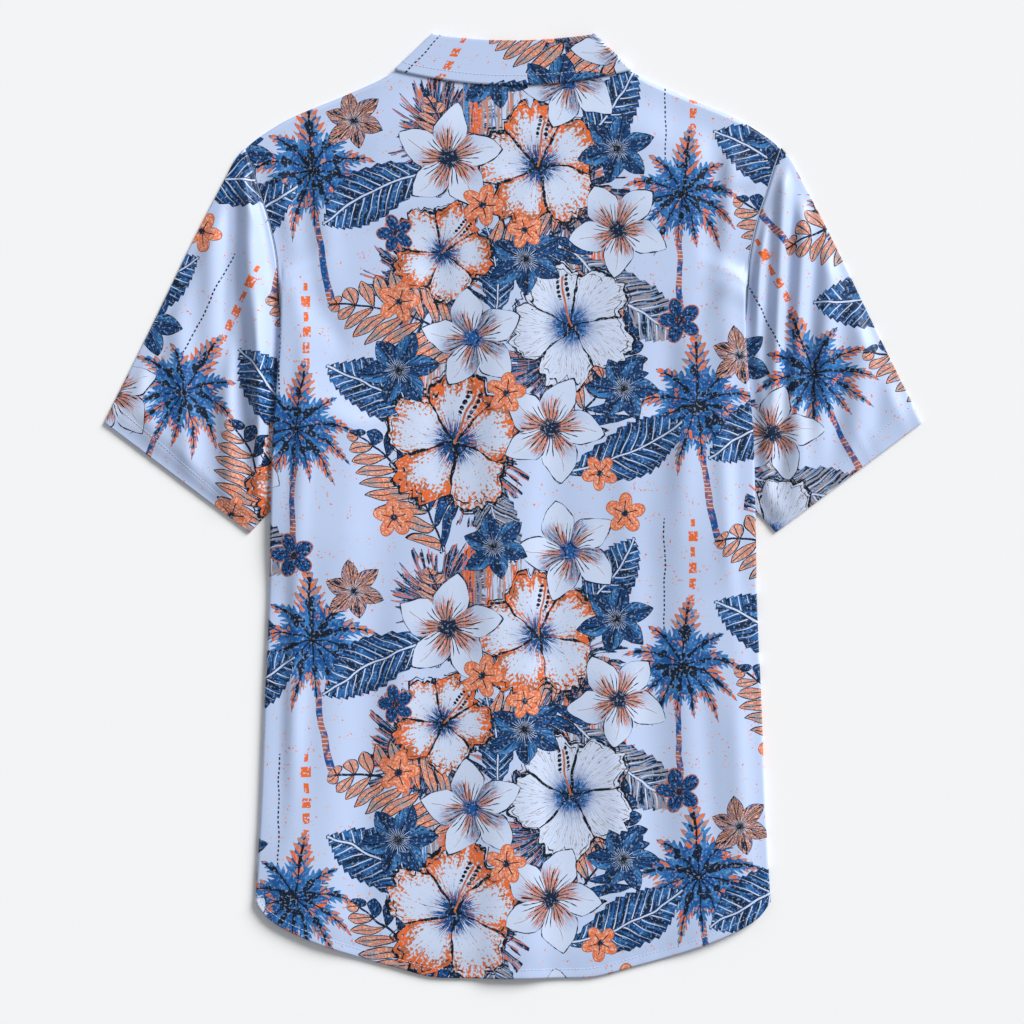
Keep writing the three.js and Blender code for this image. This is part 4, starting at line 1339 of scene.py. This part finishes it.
def paint_blossom(canvas: Canvas) -> None:
    """Paints small orange blossoms."""
    u, v, mask, kind = canvas.local(Motif.BLOSSOM, 0.2)
    petals = Petals.of(u, v, 5)
    edge = petals.oval(0.54, 0.42, 0.31)
    fill = edge.below(0) & mask
    fray = canvas.noise(petals.near * 6.0, petals.radius * 2.0, petals.chance * 5.0, 2.4, 1)
    canvas.blend(fill, canvas.sponge.ramp(0.47, 0.62), Inks.orange, Inks.peach)
    canvas.blend(fill & kind, fray.ramp(0.4, 0.55), Inks.navy, Inks.royal)
    canvas.paint(fill & petals.aside.size().below(0.025) & petals.along.below(0.6), Inks.line)
    canvas.paint(mask & edge.size().below(0.02), Inks.rust)
    canvas.paint(mask & (petals.radius - fray * 0.2).below(0.06), Inks.navy)


PAINTERS = (
    paint_shade,
    paint_brush,
    paint_palm,
    paint_leaf,
    paint_fern,
    paint_hibiscus,
    paint_plumeria,
    paint_lily,
    paint_blossom,
)


@dataclass(frozen=True)
class PrintedPolyester:
    """Smooth woven polyester with a printed design and a satin sheen.

    Args:
        thread_width: The width of one thread of the weave, in millimetres.
        roughness: How much the gloss is spread.
        specular: How strong the gloss is.
        sheen: How strong the soft shine at slanting angles is.
        weave_shade: How much painted shade darkens the print between the weave's threads.
        fade: How much of the ground shows through where the ink took badly.
    """

    thread_width: float = 0.28
    roughness: float = 0.4
    specular: float = 0.3
    sheen: float = 0.04
    weave_shade: float = 0.06
    fade: float = 0.35

    def build(self) -> bpy.types.Material:
        """Returns the material, drawn in the flat cut."""
        made, tree, shader = start_material("printed_polyester")
        cut = add_node(tree, "ShaderNodeUVMap", {"uv_map": "flat_cut"})
        parts = add_node(tree, "ShaderNodeSeparateXYZ", None, {0: cut.outputs["UV"]})
        x, y = Number(tree, parts.outputs[0]), Number(tree, parts.outputs[1])
        ground = add_node(tree, "ShaderNodeRGB")
        ground.outputs[0].default_value = linear(Inks.ground)
        canvas = Canvas(tree, ground.outputs[0], x, y)
        fleck = canvas.sponge.above(0.66) & canvas.blotch.above(0.55)
        canvas.blend(fleck, canvas.blotch.ramp(0.55, 0.7), Inks.peach, Inks.orange)
        for paint in PAINTERS:
            paint(canvas)
        canvas.paint(canvas.sponge.below(0.37) * self.fade, Inks.ground)
        weave = self.weave(x, y)
        # Painted shade: the print is darkened a little between the weave's threads, where its
        # hollows lie.
        woven = mix_colours(tree, self.weave_shade, canvas.colour, weave.socket, "MULTIPLY")
        inputs = {
            "Base Color": woven,
            "Normal": add_bump(tree, weave, 0.00003, 0.5),
            "Roughness": self.roughness,
            "Specular IOR Level": self.specular,
            "Sheen Weight": self.sheen,
            "Sheen Roughness": 0.35,
            "Sheen Tint": linear("#eef3ff"),
        }
        fill_inputs(tree, shader, inputs)
        return made

    def weave(self, x: Number, y: Number) -> Number:
        """Returns the height of a plain weave, from 0 to 1."""
        turn = math.pi / (self.thread_width * MM)
        return ((x * turn).then("SINE") * (y * turn).then("SINE")) * 0.5 + 0.5


# Each motif's places in the repeat: across, up, size, turn and, for the second colouring, 1.
PLACES = {
    Motif.SHADE: (
        (116, 62, 60, 0), (196, 150, 62, 40), (86, 216, 62, 80), (200, 286, 60, 120),
        (100, 342, 54, 10),
    ),
    Motif.BRUSH: (
        (100, 110, 66, 0), (228, 222, 62, 0), (140, 345, 60, 0), (298, 352, 66, 0, 1),
    ),
    Motif.PALM: (
        (318, 80, 92, 3), (300, 262, 84, -6),
    ),
    Motif.LEAF: (
        (52, 116, 60, 148), (254, 66, 58, 24), (44, 292, 58, 205), (252, 198, 62, -38, 1),
        (236, 352, 52, 52), (144, 220, 43, 96), (142, 16, 48, 284, 1),
    ),
    Motif.FERN: (
        (232, 130, 64, 62), (66, 40, 66, 128), (64, 180, 66, 160, 1), (190, 258, 62, 24),
        (96, 328, 44, 96, 1),
    ),
    Motif.HIBISCUS: (
        (108, 76, 64, 18), (208, 176, 58, 52, 1), (98, 238, 46, 0), (180, 312, 58, 33),
    ),
    Motif.PLUMERIA: (
        (190, 88, 48, 10), (124, 164, 46, 40, 1), (248, 258, 44, 64), (104, 318, 48, 25),
        (206, 384, 46, 50, 1),
    ),
    Motif.LILY: (
        (60, 138, 38, 15), (168, 232, 38, 40), (252, 122, 34, 5), (246, 326, 36, 25),
        (142, 388, 34, 50), (22, 350, 30, 50, 1),
    ),
    Motif.BLOSSOM: (
        (152, 118, 18, 10), (60, 196, 19, 5), (132, 278, 19, 0), (168, 256, 16, 30),
        (56, 12, 18, 20), (254, 16, 18, 15), (232, 50, 16, 50), (58, 254, 17, 35, 1),
        (300, 180, 20, 35, 1),
    ),
}
DESIGN = Print(
    330.0,
    400.0,
    tuple(Stamp(motif, *place) for motif, places in PLACES.items() for place in places),
)

# Where on the print each piece was cut
BODY_OFFSETS = {
    "back": (158.0, 20.0),
    "front_left": (60.0, 120.0),
    "front_right": (-90.0, 40.0),
}
LEFT_SLEEVE_OFFSET = (255.0, 96.0)
RIGHT_SLEEVE_OFFSET = (35.0, 271.0)
COLLAR_OFFSET = (30.0, 215.0)
LAPEL_OFFSET = (-40.0, 90.0)


def cut_area(flat: np.ndarray) -> float:
    """Returns the area of a flat cut in square metres: the sum of its grid's cells.

    A cell that runs from one edge of the cut to the other, as at a sleeve's seam, isn't counted.
    """
    across, up = flat[:-1, 1:] - flat[1:, :-1], flat[1:, 1:] - flat[:-1, :-1]
    cells = np.abs(across[..., 0] * up[..., 1] - across[..., 1] * up[..., 0]) / 2
    return float(cells[np.abs(across[..., 0]) < SLEEVE_LENGTH / 8].sum() * MM**2)


def declare_sheet(
    flat: np.ndarray,
) -> None:
    """Works out a flat cut's size and area, and does nothing with them."""
    width, length = (np.ptp(flat[..., k]) * MM for k in range(2))
    area = min(cut_area(flat), width * length)


@dataclass
class Body:
    """The back and the two fronts, with their hems and their shoulder and armhole seams."""

    cloth: bpy.types.Material
    thread: bpy.types.Material
    design: Print
    step: float = 3.2
    made: dict[str, bpy.types.Object] = field(default_factory=dict)
    grids: dict[str, tuple[np.ndarray, np.ndarray]] = field(default_factory=dict)

    def build(self) -> None:
        """Makes the cloth of the back and the fronts."""
        self.grids["back"] = back_surface(self.step)
        for side, name in ((-1, "front_left"), (1, "front_right")):
            self.grids[name] = front_surface(side, self.step * 1.4)
        for name, (points, flat) in self.grids.items():
            piece = Cloth(name, self.cloth, self.design, BODY_OFFSETS[name])
            self.made[name] = piece.build(points, flat)

    def dress(self) -> None:
        """Sews the hems and lays the seams, and works out the size and area of the three pieces'
        flat cuts, which nothing uses.
        """
        thread, seam = Thread(self.thread), Roll(self.cloth, SEAM_ROLL)
        rows = body_rows(self.step)[:, 0]
        # The stitches run just inside the band. The hem's rows are the same at any step.
        row = int(np.argmin(np.abs(rows - SIDE_HEM - HEM_BAND * 0.84)))
        sewing: dict[str, list[bpy.types.Object]] = {}
        for name, (points, _) in self.grids.items():
            normals = grid_normals(points) * (1 if name == "back" else -1)
            line = points[row] + normals[row] * CLOTH_SHOWN / 2
            line[:, 2] = np.maximum(line[:, 2], LEAST_THREAD)
            sewing[name] = [thread.sew(f"{name}_hem_stitches", line, normals[row])]
        for side, word in ((-1, "left"), (1, "right")):
            # The armhole's roll lies in the ditch between the sleeve and the body's side.
            count = 60
            height = np.linspace(SHOULDER_TIP[1] - 1, CROSSING - 22, count)
            place = np.interp(height, ARMHOLE_UP.value[::-1], ARMHOLE_UP.at[::-1])
            across = (ARMHOLE_ACROSS(place) + LAID(height)) / 2
            level = np.full(count, LAYER - 0.55)
            armhole = np.stack([side * across, height, level], axis=-1)
            sewing["back"].append(seam.lay(f"armhole_seam_{word}", armhole))
            # The shoulder's roll lies between the back's edge and the front's.
            across = np.linspace(NECK_POINT[0] + 2, SHOULDER_TIP[0] - 1, count)
            level = np.full(count, LAYER - 0.2)
            shoulder = np.stack([side * across, TOP(across) - 0.75, level], axis=-1)
            sewing["back"].append(seam.lay(f"shoulder_seam_{word}", shoulder))
        for name, below in (
            ("back", ("front_left", "front_right", "sleeve_left", "sleeve_right")),
            ("front_left", ("floor", "button_1", "sleeve_left")),
            ("front_right", ("floor", "front_left", "sleeve_right")),
        ):
            declare_sheet(self.grids[name][1])


@dataclass
class Sleeve:
    """One sleeve, folded flat at its outer edge."""

    word: str
    side: int
    creases: tuple[Crease, ...]
    cloth: bpy.types.Material
    thread: bpy.types.Material
    design: Print
    offset: tuple[float, float]
    step: float = 3.0
    points: np.ndarray = field(init=False)
    flat: np.ndarray = field(init=False)
    made: bpy.types.Object = field(init=False)

    def build(self) -> bpy.types.Object:
        """Makes the sleeve's cloth, all round."""
        self.points, self.flat = sleeve_surface(self.side, self.creases, self.step)
        piece = Cloth(f"sleeve_{self.word}", self.cloth, self.design, self.offset)
        self.made = piece.build(self.points, self.flat, ring=True)
        return self.made

    def dress(self) -> None:
        """Sews the cuff's band all round, and works out the size and area of the sleeve's flat
        cut, which nothing uses.
        """
        normals = grid_normals(self.points, ring=True)
        row = rows_above_band(self.step) + 2
        name = f"cuff_stitches_{self.word}"
        line = self.points[row] + normals[row] * CLOTH_SHOWN / 2
        line[:, 2] = np.maximum(line[:, 2], LEAST_THREAD)
        stitches = Thread(self.thread).sew(name, line, normals[row])
        declare_sheet(self.flat)


@dataclass
class Collar:
    """The camp collar, and the turned-back corners of the fronts that lie before it."""

    cloth: bpy.types.Material
    thread: bpy.types.Material
    design: Print
    points: np.ndarray = field(init=False)
    flat: np.ndarray = field(init=False)
    made: bpy.types.Object = field(init=False)

    def build(self) -> bpy.types.Object:
        """Makes the collar's cloth and the two lapels."""
        self.points, self.flat = collar_surface()
        piece = Cloth("collar", self.cloth, self.design, COLLAR_OFFSET)
        self.made = piece.build(self.points, self.flat)
        for side, word in ((-1, "left"), (1, "right")):
            self.lapel(side, word)
        return self.made

    def lapel(self, side: int, word: str) -> None:
        """Makes a lapel: a patch between its neck, its point, its break and its roll's middle."""
        neck, point, end = (np.array(c) for c in (LAPEL_NECK, LAPEL_POINT, LAPEL_BREAK))
        shares = np.linspace(0, 1, 14)
        s, t = np.meshgrid(shares, shares, indexing="ij")
        upper = mix(neck, point, t[..., None])
        lower = mix((neck + end) / 2, end, t[..., None])
        plan = mix(lower, upper, s[..., None]) * (side, 1)
        points = np.dstack([plan, np.full(s.shape, HALF)])
        flat = plan * (-1, 1)
        if side < 0:
            points, flat = points[:, ::-1], flat[:, ::-1]
        name = f"lapel_{word}"
        made = Cloth(name, self.cloth, self.design, LAPEL_OFFSET).build(points, flat)
        declare_sheet(flat)

    def dress(self) -> None:
        """Sews along the fall's edge, and works out the size and area of the collar's flat cut,
        which nothing uses.
        """
        normals = grid_normals(self.points)
        facing = np.sign(normals[len(normals) // 2, -1, 2])
        up = facing * normals[:, -5]
        line = self.points[:, -5] + up * CLOTH_SHOWN / 2
        stitches = Thread(self.thread).sew("collar_stitches", line, up)
        declare_sheet(self.flat)


@dataclass
class ShirtButton:
    """A four-hole button, sewn on with thread, and the buttonhole that it has passed."""

    number: int
    resin: bpy.types.Material
    thread: bpy.types.Material
    x: float = field(init=False)
    y: float = field(init=False)

    def build(self) -> bpy.types.Object:
        """Makes the button: a round body with a rim, a dish on both faces and four holes."""
        name = f"button_{self.number}"
        low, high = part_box(name)
        self.x, self.y = (low.x + high.x) / 2 / MM, (low.y + high.y) / 2 / MM - HEM_LOW
        edge, half = BUTTON_WIDTH / 2, BUTTON_THICK / 2
        # The section goes from the centre out over a face, round the edge and back in.
        inner = np.linspace(0.12, BUTTON_DISH - 0.1, 20)
        face = np.concatenate([inner, np.linspace(BUTTON_DISH + 0.2, edge - 0.5, 7)])
        dish = half - 0.45 + 0.4 * smooth(BUTTON_DISH, BUTTON_DISH + 0.8, face)
        round_edge = np.linspace(math.pi / 2, -math.pi / 2, 9)
        rim = edge - BUTTON_RIM + BUTTON_RIM * np.cos(round_edge)
        radius = np.concatenate([face, rim, face[::-1]])
        z = np.concatenate([dish, (half - 0.05) * np.sin(round_edge), -dish[::-1]])
        turn = np.linspace(0, math.tau, 72, endpoint=False)
        x, y = radius[:, None] * np.cos(turn), radius[:, None] * np.sin(turn)
        pitch = HOLE_PITCH / 2
        away = np.hypot(np.abs(x) - pitch, np.abs(y) - pitch)
        z = z[:, None] * smooth(BUTTON_HOLE / 2 - 0.1, BUTTON_HOLE / 2 + 0.15, away)
        above = np.arange(len(z))[:, None] < face.size + 5
        skin = np.where(above, BUTTON_SKIN, -BUTTON_SKIN)
        z = z + np.where(np.abs(z) < BUTTON_SKIN, skin, 0)
        points = np.dstack([self.x + x, self.y + y, z + half])
        made = make_mesh(name, to_frame(points), grid_faces(*z.shape, ring=True), self.resin)
        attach(made, "root")
        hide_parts(name)
        return made

    def dress(self) -> None:
        """Sews the button on with two bars of thread, and lays the buttonhole above it."""
        # The bars lie in the dish of the lower face, the shirt's outside, with their ends in the
        # holes. The buttonhole is a long ring of thread in the cloth above.
        bar, pitch = Roll(self.thread, HOLE_THREAD), HOLE_PITCH / 2
        run = np.linspace(-1, 1, 13)
        z = 0.5 + 0.9 * np.abs(run) ** 6
        for side, letter in ((-1, "a"), (1, "b")):
            x = np.full(run.size, self.x + side * pitch)
            line = np.stack([x, self.y + pitch * run, z], axis=-1)
            bar.lay(f"button_{self.number}_thread_{letter}", line)
        turn = np.linspace(0, math.tau, 49)
        up = np.sin(turn)
        x = self.x + 1.3 * np.cos(turn)
        y = self.y + 5.8 * np.sign(up) * (np.abs(up) > 0.3) + 1.2 * up
        line = np.stack([x, y, np.full(turn.size, 2.42)], axis=-1)
        Roll(self.thread, 0.5).lay(f"buttonhole_{self.number}", line)


@dataclass(frozen=True)
class SewingThread:
    """Twisted polyester thread."""

    colour: str = "#d6e0f2"
    groove_shade: str = "#b9c8e4"

    def build(self) -> bpy.types.Material:
        """Returns the material: slanting plies in a fine bump, with painted shade in the grooves
        between them, so that their tops look paler.
        """
        made, tree, shader = start_material("twisted_polyester_thread")
        settings = {"bands_direction": "DIAGONAL"}
        inputs = {"Scale": 1400.0, "Distortion": 0.5}
        ply = object_texture(tree, "ShaderNodeTexWave", settings, inputs)
        inputs = {
            # Painted shade: the grooves between the plies take the darker colour, and the plies'
            # tops the paler one.
            "Base Color": mix_colours(tree, ply, self.groove_shade, self.colour),
            "Normal": add_bump(tree, ply, 0.00005, 0.6),
            "Roughness": 0.5,
            "Sheen Weight": 0.2,
        }
        fill_inputs(tree, shader, inputs)
        return made


@dataclass(frozen=True)
class PearlyResin:
    """Polished polyester resin with a faint pearly cloud in it."""

    pale: str = "#e6edf7"
    deep: str = "#b9c7dd"

    def build(self) -> bpy.types.Material:
        """Returns the material."""
        made, tree, shader = start_material("pearly_polyester_resin")
        inputs = {"Scale": 260.0, "Detail": 3.0, "Distortion": 1.4}
        cloud = object_texture(tree, "ShaderNodeTexNoise", None, inputs)
        inputs = {0: cloud, 1: 0.3, 2: 0.7, 3: 0.16, 4: 0.3}
        inputs = {
            "Base Color": mix_colours(tree, cloud, self.deep, self.pale),
            "Roughness": add_node(tree, "ShaderNodeMapRange", None, inputs).outputs[0],
            "Coat Weight": 0.3,
            "Subsurface Weight": 0.05,
            "Subsurface Scale": 0.001,
        }
        fill_inputs(tree, shader, inputs)
        return made


@dataclass(frozen=True)
class PaperFloor:
    """Matt white studio paper."""

    colour: str = "#f6f6f6"

    def build(self) -> bpy.types.Material:
        """Returns the material, with a faint tooth."""
        made, tree, shader = start_material("matt_studio_paper")
        inputs = {"Scale": 900.0, "Detail": 2.0}
        tooth = object_texture(tree, "ShaderNodeTexNoise", None, inputs)
        inputs = {
            "Base Color": linear(self.colour),
            "Roughness": 0.9,
            "Normal": add_bump(tree, tooth, 0.0001, 0.15),
        }
        fill_inputs(tree, shader, inputs)
        return made


@dataclass(frozen=True)
class Stage:
    """The floor, the lights and the camera of the photo, which looks straight down.

    Args:
        view_width: How much of the floor the camera sees, in metres.
        distance: How high the camera is, in metres.
        light: The soft box's strength.
        tilt: The soft box's angle from straight above, in degrees.
        turn: Where it stands, in degrees anticlockwise from the photo's left.
        breadth: How broad the soft box looks from the shirt, in degrees.
        ambient: The strength of the light from all round.
        aim: The floor's point under the camera, in metres.
        floor_reach: How far the floor goes to each side, in metres.
    """

    view_width: float = 0.8725
    distance: float = 2.6
    light: float = 4.2
    tilt: float = 62.0
    turn: float = -136.0
    breadth: float = 30.0
    ambient: float = 0.38
    aim: tuple[float, float] = (-0.0009, -0.0054)
    floor_reach: float = 4.0

    def build(self) -> None:
        """Makes the floor, the lights and the camera."""
        scene = bpy.context.scene
        corners = np.array([(-1, -1, 0), (1, -1, 0), (1, 1, 0), (-1, 1, 0)]) * self.floor_reach
        floor = make_mesh("floor", corners, np.array([[0, 1, 2, 3]]), PaperFloor().build())
        world = bpy.data.worlds.new("studio")
        world.use_nodes = True
        sky = world.node_tree.nodes["Background"]
        sky.inputs["Color"].default_value = linear("#f4f6fa")
        sky.inputs["Strength"].default_value = self.ambient
        scene.world = world
        sun = bpy.data.lights.new("softbox", "SUN")
        sun.energy = self.light
        sun.angle = math.radians(self.breadth)
        lamp = bpy.data.objects.new("softbox", sun)
        lamp.rotation_euler = (0, math.radians(-self.tilt), math.radians(self.turn))
        scene.collection.objects.link(lamp)
        lens = bpy.data.cameras.new("camera")
        lens.sensor_width = 36
        lens.lens = lens.sensor_width * self.distance / self.view_width
        lens.clip_end = 50
        camera = bpy.data.objects.new("camera", lens)
        camera.location = (*self.aim, self.distance)
        scene.collection.objects.link(camera)
        scene.camera = camera
        scene.view_settings.view_transform = "Standard"


def main() -> None:
    """Builds the shirt in order and logs each step."""
    logging.basicConfig(level=logging.INFO, format="%(name)s: %(message)s")
    cloth, thread = PrintedPolyester().build(), SewingThread().build()
    body = Body(cloth, thread, DESIGN)
    body.build()
    LOG.info("body built: %s", {n: len(o.data.polygons) for n, o in body.made.items()})
    body.dress()
    for word, side, creases, offset in (
        ("left", -1, LEFT_SLEEVE_CREASES, LEFT_SLEEVE_OFFSET),
        ("right", 1, RIGHT_SLEEVE_CREASES, RIGHT_SLEEVE_OFFSET),
    ):
        sleeve = Sleeve(word, side, creases, cloth, thread, DESIGN, offset)
        LOG.info("sleeve %s built: %d faces", word, len(sleeve.build().data.polygons))
        sleeve.dress()
    collar = Collar(cloth, thread, DESIGN)
    LOG.info("collar built: %d faces", len(collar.build().data.polygons))
    collar.dress()
    resin = PearlyResin().build()
    for number in range(1, BUTTON_COUNT + 1):
        button = ShirtButton(number, resin, thread)
        button.build()
        button.dress()
    LOG.info("%d buttons built", BUTTON_COUNT)
    Stage().build()


if __name__ == "__main__":
    main()
